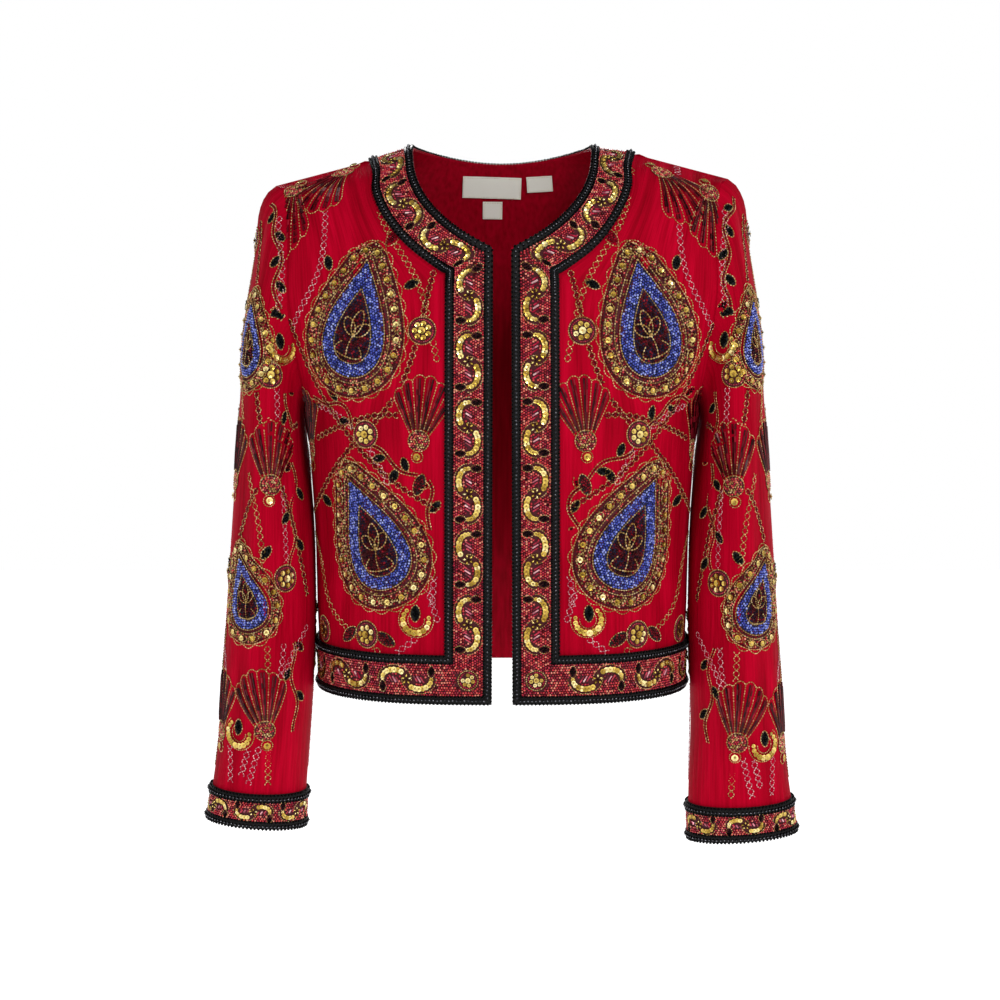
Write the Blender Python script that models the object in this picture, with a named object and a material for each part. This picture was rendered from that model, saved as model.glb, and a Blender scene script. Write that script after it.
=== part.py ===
"""Short beaded evening jacket, hollow as worn, open at the neck, front, hem and cuffs.

Frame: the origin is midway between the two high points of the shoulder seams, +Z is up, the front
faces -Y and the wearer's left is +X. Lengths are in metres.

Every cut piece is a sheet of quads on its outer face. The body follows one smooth form, given by
its half width and its front and back depth at each height, and the sleeves follow rings spanned
between an outer and an inner line. A piece's wall, and the bands and beaded edgings that lie on it,
are slabs over the sheet's own quads.
"""
import math
from collections import namedtuple

import bpy
import numpy as np
from mathutils import Vector
from mathutils.bvhtree import BVHTree

MM = 0.001

# Walls and the gaps between neighbours
WALL = 1.6 * MM
LINING_WALL = 1.0 * MM
LABEL_WALL = 0.9 * MM
SEAM_GAP = 0.3 * MM
LINING_GAP = 0.5 * MM
LIFT = 0.35 * MM
LABEL_LIFT = 0.5 * MM

# Band of beads: edging, field, edging, measured from the garment's edge
EDGING = 8 * MM
FRONT_BAND = 43 * MM
HEM_BAND = 45 * MM
CUFF_BAND = 34 * MM
FIELD_HEIGHT = 1.5 * MM
EDGING_SIDE = 1.4 * MM
EDGING_CROWN = 3.9 * MM

# Heights and the neckline
HEM_Z = -0.507
ARMPIT_Z = -0.245
SHOULDER_Z = -0.034
NECK_CORNER = (0.0082, -0.094)
NECK_HIGH = (0.083, 0.0)
FRONT_NECK_PULL = ((0.045, -0.076), (0.084, -0.050))
BACK_NECK_CENTRE = (0.0, -0.0136)
BACK_NECK_PULL = ((0.035, -0.0136), (0.070, -0.004))
HEM_OPENING = 0.0095
SHOULDER_SLOPE = 0.262
NECK_RISE = 0.030

# Armhole: an egg in the side view
ARMHOLE_FRONT = 0.069
ARMHOLE_BACK = 0.073
ARMHOLE_EGG = 0.17

# Roundness of the body's sections and of its shoulders
SECTION_ACROSS = 2.8
SECTION_DEEP = 2.3
SHOULDER_FRONT = (4.5, 0.52)
SHOULDER_BACK = (6.0, 0.50)

# Points of the fine curves that lengths are measured on, and how the form is searched
ROW_POINTS = 400
HEADING_POINTS = 240
NECKLINE_POINTS = 300
HEADING_SPARE = 1.4
ARMHOLE_LEAST_X = 0.10
HALVINGS = 50
PROBE = 0.2 * MM
LABEL_PROBE = 0.5 * MM
LABEL_SEARCH = 16 * MM

Section = namedtuple("Section", "z half_width front back")
BODY = (
    Section(-0.507, 0.1740, 0.1260, 0.1250),
    Section(-0.440, 0.1755, 0.1240, 0.1180),
    Section(-0.375, 0.1765, 0.1230, 0.1100),
    Section(-0.300, 0.1808, 0.1250, 0.1100),
    Section(-0.245, 0.1860, 0.1240, 0.1130),
    Section(-0.190, 0.2060, 0.1200, 0.1130),
    Section(-0.140, 0.2230, 0.1120, 0.1080),
    Section(-0.090, 0.2290, 0.0980, 0.0940),
    Section(-0.030, 0.2310, 0.0830, 0.0760),
    Section(0.000, 0.2310, 0.0760, 0.0690),
)

Ring = namedtuple("Ring", "out_x out_z in_x in_z half_depth y_mid")
SLEEVE = (
    Ring(0.2128, -0.034, 0.1860, -0.245, 0.071, 0.002),
    Ring(0.2205, -0.040, 0.1866, -0.248, 0.072, 0.002),
    Ring(0.2275, -0.054, 0.1872, -0.252, 0.073, 0.002),
    Ring(0.2310, -0.080, 0.1875, -0.257, 0.074, 0.001),
    Ring(0.2340, -0.105, 0.1873, -0.262, 0.075, 0.001),
    Ring(0.2390, -0.135, 0.1868, -0.269, 0.076, 0.000),
    Ring(0.2440, -0.175, 0.1858, -0.278, 0.076, -0.001),
    Ring(0.2475, -0.232, 0.1840, -0.295, 0.075, -0.003),
    Ring(0.2510, -0.290, 0.1806, -0.325, 0.072, -0.012),
    Ring(0.2555, -0.360, 0.1775, -0.370, 0.068, -0.020),
    Ring(0.2600, -0.430, 0.1764, -0.430, 0.063, -0.027),
    Ring(0.2650, -0.500, 0.1788, -0.500, 0.056, -0.031),
    Ring(0.2695, -0.560, 0.1830, -0.560, 0.048, -0.032),
    Ring(0.2755, -0.600, 0.1865, -0.605, 0.040, -0.031),
    Ring(0.2800, -0.633, 0.1890, -0.641, 0.034, -0.031),
)
SLEEVE_ROWS = (0, 1, 2, 3, 4, 5, 6, 7, 7.5, 8, 8.5, 9, 9.5, 10, 10.5, 11, 11.5, 12)
SLEEVE_BLEND_ROWS = 6
CUFF_ROW = 13
DROP_FROM_Z = -0.25
LEFT_SLEEVE_DROP = 0.013
LEFT_CUFF_WIDER = 0.010
WIDER_FROM_Z = -0.50

# How the shoulders sit: the left is a little higher than the right
LEFT_SHOULDER_LIFT = 0.0050
RIGHT_SHOULDER_LIFT = -0.0015
LIFTED_FROM_X = 0.13
LIFTED_FROM_Z = -0.06

# Soft folds: troughs are negative. On the body `at` is x and on a sleeve it is the turn in degrees
# from the outer line over the front
Fold = namedtuple("Fold", "at z_top z_bottom width height")
FRONT_FOLDS = (
    Fold(0.150, -0.190, -0.440, 0.014, -0.0035),
    Fold(0.172, -0.250, -0.470, 0.012, 0.0030),
    Fold(0.160, -0.060, -0.210, 0.014, -0.0025),
    Fold(0.105, -0.330, -0.520, 0.016, 0.0020),
)
BACK_FOLDS = (
    Fold(0.155, -0.150, -0.430, 0.014, -0.0035),
    Fold(0.120, -0.200, -0.480, 0.016, 0.0025),
    Fold(0.060, -0.280, -0.520, 0.020, -0.0020),
)
SLEEVE_FOLDS = (
    Fold(118, -0.240, -0.500, 17, -0.0050),
    Fold(84, -0.300, -0.560, 16, 0.0030),
    Fold(52, -0.260, -0.420, 16, -0.0030),
    Fold(232, -0.240, -0.520, 18, -0.0045),
    Fold(292, -0.280, -0.470, 17, -0.0030),
)

# A fold's sideways share at the side seam, and the rows and columns over which folds fade out
FOLD_ACROSS = 0.7
FADE_COLUMNS = 2
FADE_HEM_ROWS = 5
FADE_TOP_ROWS = 4

# Rows and columns of the sheets
BAND_COLUMNS = 5
SIDE_COLUMNS = 7
BODY_ROWS = 7
ARMHOLE_ROWS = 10
NECK_ROWS = 6
EVENING_PASSES = 12

# A band's lines and cells from the garment's edge: its crowns are lines and its field is a cell
OUTER_CROWN = 1
FIELD = 2
INNER_CROWN = 4

# How faces that share a seam blend, and how far a mitre may lengthen a wall or an inset
FACING = (-0.3, 0.2)
LEAST_WALL_MITRE = 0.75
LEAST_INSET_MITRE = 0.4
SHARP_ANGLE = math.radians(50)

# Labels inside the back neck: centre, size on the cloth and tilt in degrees
Label = namedtuple("Label", "x z width height tilt")
LABELS = {
    "label_main": Label(-0.0098, -0.0335, 0.0570, 0.0225, -2.0),
    "label_size": Label(-0.0092, -0.0553, 0.0190, 0.0180, -1.0),
    "label_care": Label(0.0368, -0.0300, 0.0250, 0.0165, 4.0),
}

Finish = namedtuple("Finish", "colour roughness metallic")
SILK = Finish((0.50, 0.004, 0.022), 0.55, 0.0)
LINING = Finish((0.22, 0.004, 0.012), 0.35, 0.0)
CORAL_BEADS = Finish((0.50, 0.075, 0.085), 0.35, 0.0)
BLACK_BEADS = Finish((0.006, 0.006, 0.008), 0.20, 0.0)
CREAM_TAPE = Finish((0.78, 0.72, 0.60), 0.70, 0.0)

FRONT = -1.0
BACK = 1.0


def smooth_curve(knots, values, at):
    """Cubic curve through the values, flat at a turning point so that it never overshoots."""
    knots = np.asarray(knots, float)
    values = np.asarray(values, float)
    steps = np.diff(knots)
    slopes = np.diff(values) / steps
    bends = np.zeros(len(knots))
    bends[0] = slopes[0]
    bends[-1] = slopes[-1]
    for i in range(1, len(knots) - 1):
        if slopes[i - 1] * slopes[i] > 0:
            w1 = 2 * steps[i] + steps[i - 1]
            w2 = steps[i] + 2 * steps[i - 1]
            bends[i] = (w1 + w2) / (w1 / slopes[i - 1] + w2 / slopes[i])
    at = np.clip(at, knots[0], knots[-1])
    i = np.clip(np.searchsorted(knots, at) - 1, 0, len(steps) - 1)
    t = (at - knots[i]) / steps[i]
    low = (1 + 2 * t) * (1 - t) ** 2 * values[i] + t * (1 - t) ** 2 * steps[i] * bends[i]
    high = t * t * (3 - 2 * t) * values[i + 1] + t * t * (t - 1) * steps[i] * bends[i + 1]
    return low + high


def soft_step(low, high, value):
    """0 below `low`, 1 above `high`, smooth between."""
    t = np.clip((value - low) / (high - low), 0, 1)
    return t * t * (3 - 2 * t)


def unit(vector):
    """The vector at length 1."""
    return vector / max(np.linalg.norm(vector), 1e-12)


def bezier(start, pulls, end, t):
    """Point of a cubic curve in the front view."""
    points = [np.array(p, float) for p in (start, *pulls, end)]
    weights = ((1 - t) ** 3, 3 * t * (1 - t) ** 2, 3 * t * t * (1 - t), t ** 3)
    return sum(w * p for w, p in zip(weights, points))


def body_size(z, column):
    """Half width or depth of the body's section at a height."""
    return smooth_curve([s.z for s in BODY], [getattr(s, column) for s in BODY], z)


def ridge(x):
    """Height of the shoulder line over x, and of the form's top inside the neck."""
    x = np.abs(x)
    inside = NECK_RISE * (1 - (x / NECK_HIGH[0]) ** 2)
    beyond = -SHOULDER_SLOPE * (x - NECK_HIGH[0])
    return np.where(x < NECK_HIGH[0], inside, beyond)


def depth(x, z, side):
    """Distance of the body's form from the plane of the shoulder seams."""
    across = np.clip(np.abs(x) / body_size(z, "half_width"), 0, 1)
    size = body_size(z, "front" if side == FRONT else "back")
    power, root = SHOULDER_FRONT if side == FRONT else SHOULDER_BACK
    up = np.clip((z - ARMPIT_Z) / (ridge(x) - ARMPIT_Z), 0, 1)
    section = (1 - across ** SECTION_ACROSS) ** (1 / SECTION_DEEP)
    return size * section * (1 - up ** power) ** root


def on_form(x, z, side):
    """Point of the body's form in the front view or the back view."""
    return np.array([x, side * float(depth(x, z, side)), z])


def spaced(curve, lengths):
    """Points at given lengths along a dense curve."""
    run = np.concatenate([[0], np.cumsum(np.linalg.norm(np.diff(curve, axis=0), axis=1))])
    return [np.array([np.interp(s, run, curve[:, c]) for c in range(3)]) for s in lengths]


def curve_length(curve):
    """Length of a dense curve."""
    return float(np.linalg.norm(np.diff(curve, axis=0), axis=1).sum())


def band_stops(band):
    """Lines of a band from its edge: edging, its crown, field, edging, its crown."""
    return [0, EDGING / 2, EDGING, band - EDGING, band - EDGING / 2, band]


def level_row(x_start, z, side, stops, columns):
    """Row of the body at one height: fixed stops from its inner end, then equal shares."""
    width = float(body_size(z, "half_width"))
    steps = 1 - (1 - np.linspace(0, 1, ROW_POINTS)) ** 3
    xs = x_start + (width - x_start) * steps
    level_z = np.full(ROW_POINTS, z)
    curve = np.column_stack([xs, side * depth(xs, level_z, side), level_z])
    total = curve_length(curve)
    shares = [stops[-1] + (total - stops[-1]) * i / columns for i in range(1, columns + 1)]
    row = spaced(curve, list(stops) + shares)
    row[-1] = np.array([width, 0.0, z])
    return row


def march(start, heading, side, stops):
    """Points on the form at given lengths from a point, on a straight heading in the front view."""
    t = np.linspace(0, stops[-1] * HEADING_SPARE, HEADING_POINTS)
    xs = start[0] + t * heading[0]
    zs = start[2] + t * heading[1]
    curve = np.column_stack([xs, side * depth(xs, zs, side), zs])
    row = spaced(curve, stops)
    return [on_form(p[0], p[2], side) for p in row]


def seam_row(stops):
    """Points along the shoulder seam at given lengths from the neck."""
    return [np.array([NECK_HIGH[0] + s / math.hypot(1, SHOULDER_SLOPE), 0.0,
                      -SHOULDER_SLOPE * s / math.hypot(1, SHOULDER_SLOPE)]) for s in stops]


def square_to(before, after, here, side):
    """Heading on the form square to a line through two points, in the front view."""
    along = unit(after - before)
    over_x = on_form(here[0] + PROBE, here[2], side) - on_form(here[0] - PROBE, here[2], side)
    over_z = on_form(here[0], here[2] + PROBE, side) - on_form(here[0], here[2] - PROBE, side)
    across = np.cross(along, unit(np.cross(over_x, over_z)))
    return unit(np.array([across[0], across[2]]))


def armhole(side):
    """Points of the armhole from the underarm to the shoulder, on the body's form."""
    middle = (SHOULDER_Z + ARMPIT_Z) / 2
    half = (SHOULDER_Z - ARMPIT_Z) / 2
    reach = ARMHOLE_FRONT if side == FRONT else ARMHOLE_BACK
    points = []
    for k in range(ARMHOLE_ROWS + 1):
        turn = math.pi * k / ARMHOLE_ROWS
        z = middle - half * math.cos(turn)
        y = reach * math.sin(turn) * (1 - ARMHOLE_EGG * (1 - math.cos(turn)) / 2)
        low = ARMHOLE_LEAST_X
        high = float(body_size(z, "half_width"))
        for _ in range(HALVINGS):
            x = (low + high) / 2
            if float(depth(x, z, side)) > y:
                low = x
            else:
                high = x
        points.append(np.array([low, side * y, z]))
    points[0] = np.array([float(body_size(ARMPIT_Z, "half_width")), 0.0, ARMPIT_Z])
    end_x = NECK_HIGH[0] - SHOULDER_Z / SHOULDER_SLOPE
    points[-1] = np.array([end_x, 0.0, SHOULDER_Z])
    return points


def fill(left, right, bottom, top, side):
    """Inner points of a four-sided stretch of the form: spread between its edges, then evened out."""
    rows = len(left) - 1
    columns = len(bottom) - 1
    placed = {}
    for k in range(rows + 1):
        placed[(0, k)], placed[(columns, k)] = left[k], right[k]
    for j in range(columns + 1):
        placed[(j, 0)], placed[(j, rows)] = bottom[j], top[j]
    inner = [(j, k) for k in range(1, rows) for j in range(1, columns)]
    for j, k in inner:
        u, v = j / columns, k / rows
        point = (1 - v) * bottom[j] + v * top[j] + (1 - u) * left[k] + u * right[k]
        point = point - ((1 - u) * (1 - v) * left[0] + u * (1 - v) * right[0]
                         + (1 - u) * v * left[-1] + u * v * right[-1])
        placed[(j, k)] = on_form(point[0], point[2], side)
    for _ in range(EVENING_PASSES):
        for j, k in inner:
            around = [placed[(j - 1, k)], placed[(j + 1, k)], placed[(j, k - 1)], placed[(j, k + 1)]]
            middle = sum(around) / 4
            placed[(j, k)] = on_form(middle[0], middle[2], side)
    return {key: placed[key] for key in inner}


def row_heights():
    """Heights of the level rows, from the hem to the underarm."""
    stops = [HEM_Z + s for s in band_stops(HEM_BAND)]
    share = (ARMPIT_Z - stops[-1]) / BODY_ROWS
    return stops + [stops[-1] + share * i for i in range(1, BODY_ROWS + 1)]


def front_grid():
    """Grid of the wearer's left front: column 0 is the front edge, row 0 the hem."""
    grid = {}
    heights = row_heights()
    for k, z in enumerate(heights):
        share = (z - HEM_Z) / (NECK_CORNER[1] - HEM_Z)
        x_start = HEM_OPENING + (NECK_CORNER[0] - HEM_OPENING) * share
        row = level_row(x_start, z, FRONT, band_stops(FRONT_BAND), SIDE_COLUMNS)
        for j, point in enumerate(row):
            grid[(j, k)] = point
    base = len(heights) - 1

    # The edge above the underarm: the rest of the front edge, then the neckline
    straight = ARMHOLE_ROWS - NECK_ROWS
    edge = []
    for k in range(straight + 1):
        z = ARMPIT_Z + (NECK_CORNER[1] - ARMPIT_Z) * k / straight
        share = (z - HEM_Z) / (NECK_CORNER[1] - HEM_Z)
        edge.append(on_form(HEM_OPENING + (NECK_CORNER[0] - HEM_OPENING) * share, z, FRONT))
    fine = [bezier(NECK_CORNER, FRONT_NECK_PULL, NECK_HIGH, t) for t in np.linspace(0, 1, NECKLINE_POINTS)]
    curve = np.array([on_form(p[0], p[1], FRONT) for p in fine])
    total = curve_length(curve)
    neckline = spaced(curve, [total * i / NECK_ROWS for i in range(NECK_ROWS + 1)])
    edge += neckline[1:]

    stops = band_stops(FRONT_BAND)
    for k in range(1, ARMHOLE_ROWS):
        if k == straight:
            up = unit(edge[k] - edge[k - 1])
            over = unit(edge[k + 1] - edge[k])
            below = square_to(edge[k] - up * MM, edge[k] + up * MM, edge[k], FRONT)
            above = square_to(edge[k] - over * MM, edge[k] + over * MM, edge[k], FRONT)
            heading = unit(below + above)
            stretch = 1 / float(heading @ below)
        else:
            heading = square_to(edge[k - 1], edge[k + 1], edge[k], FRONT)
            stretch = 1.0
        row = march(edge[k], heading, FRONT, [s * stretch for s in stops])
        for j, point in enumerate(row):
            grid[(j, base + k)] = point
    top = base + ARMHOLE_ROWS
    shoulder_length = -SHOULDER_Z / SHOULDER_SLOPE * math.hypot(1, SHOULDER_SLOPE)
    left_over = shoulder_length - FRONT_BAND
    shares = [FRONT_BAND + left_over * i / SIDE_COLUMNS for i in range(1, SIDE_COLUMNS + 1)]
    for j, point in enumerate(seam_row(stops + shares)):
        grid[(j, top)] = point

    columns = BAND_COLUMNS + SIDE_COLUMNS
    for k, point in enumerate(armhole(FRONT)):
        grid[(columns, base + k)] = point
    left = [grid[(BAND_COLUMNS, base + k)] for k in range(ARMHOLE_ROWS + 1)]
    right = [grid[(columns, base + k)] for k in range(ARMHOLE_ROWS + 1)]
    bottom = [grid[(BAND_COLUMNS + j, base)] for j in range(SIDE_COLUMNS + 1)]
    upper = [grid[(BAND_COLUMNS + j, top)] for j in range(SIDE_COLUMNS + 1)]
    for (j, k), point in fill(left, right, bottom, upper, FRONT).items():
        grid[(BAND_COLUMNS + j, base + k)] = point
    return grid


def back_grid():
    """Grid of the back's left half: column 0 is the centre, row 0 the hem.

    Above the top row the neck band goes on over the first columns, from its lower line to the
    neckline."""
    grid = {}
    heights = row_heights()
    columns = BAND_COLUMNS + SIDE_COLUMNS
    for k, z in enumerate(heights):
        for j, point in enumerate(level_row(0.0, z, BACK, [0.0], columns)):
            grid[(j, k)] = point
    base = len(heights) - 1
    top = base + ARMHOLE_ROWS

    fine = [bezier(BACK_NECK_CENTRE, BACK_NECK_PULL, NECK_HIGH, t) for t in np.linspace(0, 1, NECKLINE_POINTS)]
    curve = np.array([on_form(p[0], p[1], BACK) for p in fine])
    total = curve_length(curve)
    neckline = spaced(curve, [total * i / BAND_COLUMNS for i in range(BAND_COLUMNS + 1)])
    stops = band_stops(FRONT_BAND)
    for j in range(BAND_COLUMNS):
        if j == 0:
            heading = np.array([0.0, -1.0])
        else:
            heading = square_to(neckline[j - 1], neckline[j + 1], neckline[j], BACK)
        for step, point in enumerate(march(neckline[j], heading, BACK, stops)):
            grid[(j, top + len(stops) - 1 - step)] = point
    for step, point in enumerate(seam_row(stops)):
        grid[(BAND_COLUMNS, top + len(stops) - 1 - step)] = point
    shoulder_length = -SHOULDER_Z / SHOULDER_SLOPE * math.hypot(1, SHOULDER_SLOPE)
    left_over = shoulder_length - FRONT_BAND
    shares = [FRONT_BAND + left_over * i / SIDE_COLUMNS for i in range(1, SIDE_COLUMNS + 1)]
    for j, point in enumerate(seam_row(shares)):
        grid[(BAND_COLUMNS + 1 + j, top)] = point

    for k, point in enumerate(armhole(BACK)):
        grid[(columns, base + k)] = point
    low, high = grid[(0, base)][2], grid[(0, top)][2]
    for k in range(1, ARMHOLE_ROWS):
        grid[(0, base + k)] = on_form(0.0, low + (high - low) * k / ARMHOLE_ROWS, BACK)
    left = [grid[(0, base + k)] for k in range(ARMHOLE_ROWS + 1)]
    right = [grid[(columns, base + k)] for k in range(ARMHOLE_ROWS + 1)]
    bottom = [grid[(j, base)] for j in range(columns + 1)]
    upper = [grid[(j, top)] for j in range(columns + 1)]
    for (j, k), point in fill(left, right, bottom, upper, BACK).items():
        grid[(j, base + k)] = point
    return grid


def sleeve_lines(row):
    """Outer point, inner point, half depth and middle of the sleeve's ring at a table row."""
    knots = range(len(SLEEVE))
    values = {name: float(smooth_curve(knots, [getattr(r, name) for r in SLEEVE], row))
              for name in Ring._fields}
    outer = np.array([values["out_x"], 0.0, values["out_z"]])
    inner = np.array([values["in_x"], 0.0, values["in_z"]])
    return outer, inner, values["half_depth"], values["y_mid"]


def sleeve_ring(outer, inner, half_depth, y_mid):
    """Ring spanned between two points: from the outer point over the front to the inner, then back."""
    count = 2 * ARMHOLE_ROWS
    ring = []
    for i in range(count):
        turn = 2 * math.pi * i / count
        point = (outer + inner) / 2 + (outer - inner) / 2 * math.cos(turn)
        point[1] = y_mid - half_depth * math.sin(turn)
        ring.append(point)
    return ring


def sleeve_grid(drop, wider):
    """Grid of one sleeve, as on the wearer's left: row 0 is the armhole, and the last rows are the
    cuff band. It hangs lower by `drop`, and its cuff is wider by `wider` on the inner side."""
    seam = armhole(FRONT)[::-1] + armhole(BACK)[1:-1]
    count = len(seam)
    first = sleeve_lines(0)
    rows = []
    for row in SLEEVE_ROWS:
        outer, inner, half_depth, y_mid = sleeve_lines(row)
        ring = sleeve_ring(outer, inner, half_depth, y_mid)
        weight = float(soft_step(0, SLEEVE_BLEND_ROWS, row))
        for i in range(count):
            share = (1 + math.cos(2 * math.pi * i / count)) / 2
            shift = share * (outer - first[0]) + (1 - share) * (inner - first[1])
            ring[i] = (1 - weight) * (seam[i] + shift) + weight * ring[i]
        rows.append(ring)
    top = sleeve_ring(*sleeve_lines(CUFF_ROW))
    end = sleeve_ring(*sleeve_lines(len(SLEEVE) - 1))
    for stop in reversed(band_stops(CUFF_BAND)):
        share = 1 - stop / CUFF_BAND
        rows.append([a + (b - a) * share for a, b in zip(top, end)])
    grid = {}
    for k, ring in enumerate(rows):
        for i, point in enumerate(ring):
            point = point.copy()
            end_z = SLEEVE[-1].out_z
            lean = (1 - math.cos(2 * math.pi * i / count)) / 2
            point[0] -= wider * lean * float(soft_step(-WIDER_FROM_Z, -end_z, -point[2]))
            point[2] -= drop * float(soft_step(-DROP_FROM_Z, -end_z, -point[2]))
            grid[(i, k)] = point
    return grid


def wound_back(corners):
    """A quad wound the other way, split by the same diagonal."""
    return corners[:1] + corners[:0:-1]


class Sheet:
    """Outer face of one cut piece: points by grid place, and quads wound outwards."""

    def __init__(self, grid, quads):
        self.keys = list(grid)
        self.index = {key: i for i, key in enumerate(self.keys)}
        self.points = np.array([grid[key] for key in self.keys])
        self.quads = [tuple(self.index[c] for c in quad) for quad in quads]
        self.cells = list(quads)
        self.measure()

    def measure(self):
        """Works out each point's own outward direction."""
        normals = np.zeros_like(self.points)
        for a, b, c, d in self.quads:
            p = self.points
            first = np.cross(p[b] - p[a], p[c] - p[a])
            second = np.cross(p[c] - p[a], p[d] - p[a])
            for corner in (a, b, c, d):
                normals[corner] += first + second
        self.normals = np.array([unit(n) for n in normals])
        self.offsets = self.normals.copy()

    def turn_over(self):
        """Winds every quad the other way, for a face that looks to the back."""
        self.quads = [wound_back(quad) for quad in self.quads]
        self.cells = [wound_back(cell) for cell in self.cells]
        self.measure()

    def rim(self, quads):
        """Edges that only one of the quads has, in that quad's direction."""
        edges = {}
        for quad in quads:
            for a, b in zip(quad, quad[1:] + quad[:1]):
                edges[(a, b)] = True
        return [edge for edge in edges if (edge[1], edge[0]) not in edges]


def grid_sheet(grid, mirrored=False, whole=False, ring=0):
    """Sheet over a grid's full cells, for the left side, the right side, both or a tube."""
    def flip(point):
        return point * np.array([-1.0, 1.0, 1.0])

    places = {}
    cells = []
    if whole:
        for (j, k), point in grid.items():
            places[(j, k)] = point
            places[(-j, k)] = flip(point)
    elif mirrored:
        places = {key: flip(point) for key, point in grid.items()}
    else:
        places = dict(grid)
    for (j, k) in places:
        after = (j + 1) % ring if ring else j + 1
        corners = ((j, k), (after, k), (after, k + 1), (j, k + 1))
        if not (whole and j < 0):
            corners = corners[1:] + corners[:1]
        if all(c in places for c in corners):
            cells.append(wound_back(corners) if mirrored else corners)
    return Sheet(places, cells)


def fold_field(point, folds, place):
    """Height of the soft folds at a point, where `place` is its x or its turn."""
    total = 0.0
    for fold in folds:
        across = math.exp(-((place - fold.at) / fold.width) ** 2)
        reach = (fold.z_top - fold.z_bottom) / 4
        rise = float(soft_step(fold.z_bottom, fold.z_bottom + reach, point[2]))
        fall = 1 - float(soft_step(fold.z_top - reach, fold.z_top, point[2]))
        total += fold.height * across * rise * fall
    return total


def add_body_folds(grid, sheet_side, folds, flat_columns):
    """Moves a body grid's inner points along the view to make its soft folds."""
    columns = BAND_COLUMNS + SIDE_COLUMNS
    heights = row_heights()
    top = len(heights) - 1 + ARMHOLE_ROWS
    for (j, k), point in grid.items():
        if k >= top:
            continue
        near_edge = float(soft_step(flat_columns, flat_columns + FADE_COLUMNS, j))
        near_seam = 1 - float(soft_step(columns - FADE_COLUMNS, columns, j))
        near_hem = float(soft_step(0, FADE_HEM_ROWS, k))
        near_top = 1 - float(soft_step(top - FADE_TOP_ROWS, top, k))
        size = fold_field(point, folds, abs(point[0])) * near_edge * near_seam * near_hem * near_top
        lean = abs(point[0]) / float(body_size(point[2], "half_width"))
        point[0] += size * FOLD_ACROSS * lean
        point[1] += sheet_side * size * math.sqrt(max(0.0, 1 - lean * lean))


def add_sleeve_folds(grid):
    """Moves a sleeve grid's points in or out round its middle to make its soft folds."""
    count = 2 * ARMHOLE_ROWS
    rows = 1 + max(k for _, k in grid)
    for k in range(1, rows - len(band_stops(CUFF_BAND))):
        middle = sum(grid[(i, k)] for i in range(count)) / count
        for i in range(count):
            size = fold_field(grid[(i, k)], SLEEVE_FOLDS, 360 * i / count)
            grid[(i, k)] = grid[(i, k)] + unit(grid[(i, k)] - middle) * size


def settle(points):
    """Raises or lowers the shoulders, with nothing moved at the neck and below the armholes."""
    out = np.abs(points[:, 0])
    lift = np.where(points[:, 0] > 0, LEFT_SHOULDER_LIFT, RIGHT_SHOULDER_LIFT)
    share = soft_step(NECK_HIGH[0], LIFTED_FROM_X, out) * soft_step(ARMPIT_Z, LIFTED_FROM_Z, points[:, 2])
    points[:, 2] += lift * share


def join_seams(sheets):
    """Opens each seam by the seam gap, and gives its two edges one direction for their walls.

    At a ridge or a level seam the walls meet on a mitre. In a fold whose faces look at each other,
    such as the underarm, each wall keeps its own direction."""
    shared = {}
    for sheet in sheets:
        for i, point in enumerate(sheet.points):
            shared.setdefault(tuple(np.round(point / (0.01 * MM)).astype(int)), []).append((sheet, i))
    moves = []
    for places in shared.values():
        if len(places) < 2:
            continue
        inward = []
        for sheet, i in places:
            middles = [sheet.points[list(q)].mean(axis=0) for q in sheet.quads if i in q]
            inward.append(unit(sum(middles) / len(middles) - sheet.points[i]))
        own = [sheet.normals[i] for sheet, i in places]
        for n, (sheet, i) in enumerate(places):
            others = [inward[m] for m in range(len(places)) if m != n]
            away = unit(inward[n] - sum(others) / len(others))
            mean = unit(sum(normal * float(soft_step(*FACING, own[n] @ normal)) for normal in own))
            step = SEAM_GAP / 2 if len(places) == 2 else SEAM_GAP
            moves.append((sheet, i, away * step, mean / max(float(mean @ own[n]), LEAST_WALL_MITRE)))
    for sheet, i, away, direction in moves:
        sheet.points[i] = sheet.points[i] + away
        sheet.offsets[i] = direction


def slab(name, sheet, cells, low, high, inset, finish):
    """Closed solid over some cells of a sheet, between two heights above its outer face."""
    quads = [tuple(sheet.index[c] for c in cell) for cell in cells]
    rim = sheet.rim(quads)
    used = sorted({i for quad in quads for i in quad})
    spots = {i: sheet.points[i].copy() for i in used}
    after = dict(rim)
    before = {b: a for a, b in rim}
    for i in after:
        if inset == 0:
            break
        here, normal = sheet.points[i], sheet.normals[i]
        first = unit(np.cross(normal, here - sheet.points[before[i]]))
        second = unit(np.cross(normal, sheet.points[after[i]] - here))
        spots[i] = here + inset * (first + second) / max(1 + float(first @ second), LEAST_INSET_MITRE)
    number = {i: n for n, i in enumerate(used)}
    count = len(used)
    floor = [spots[i] + sheet.offsets[i] * low(sheet.keys[i]) for i in used]
    roof = [spots[i] + sheet.offsets[i] * high(sheet.keys[i]) for i in used]
    faces = []
    for a, b, c, d in quads:
        a, b, c, d = number[a], number[b], number[c], number[d]
        faces += [(a + count, b + count, c + count), (a + count, c + count, d + count)]
        faces += [(a, c, b), (a, d, c)]
    for a, b in rim:
        a, b = number[a], number[b]
        faces += [(b + count, a + count, a), (b + count, a, b)]
    return add_object(name, floor + roof, faces, finish)


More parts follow.
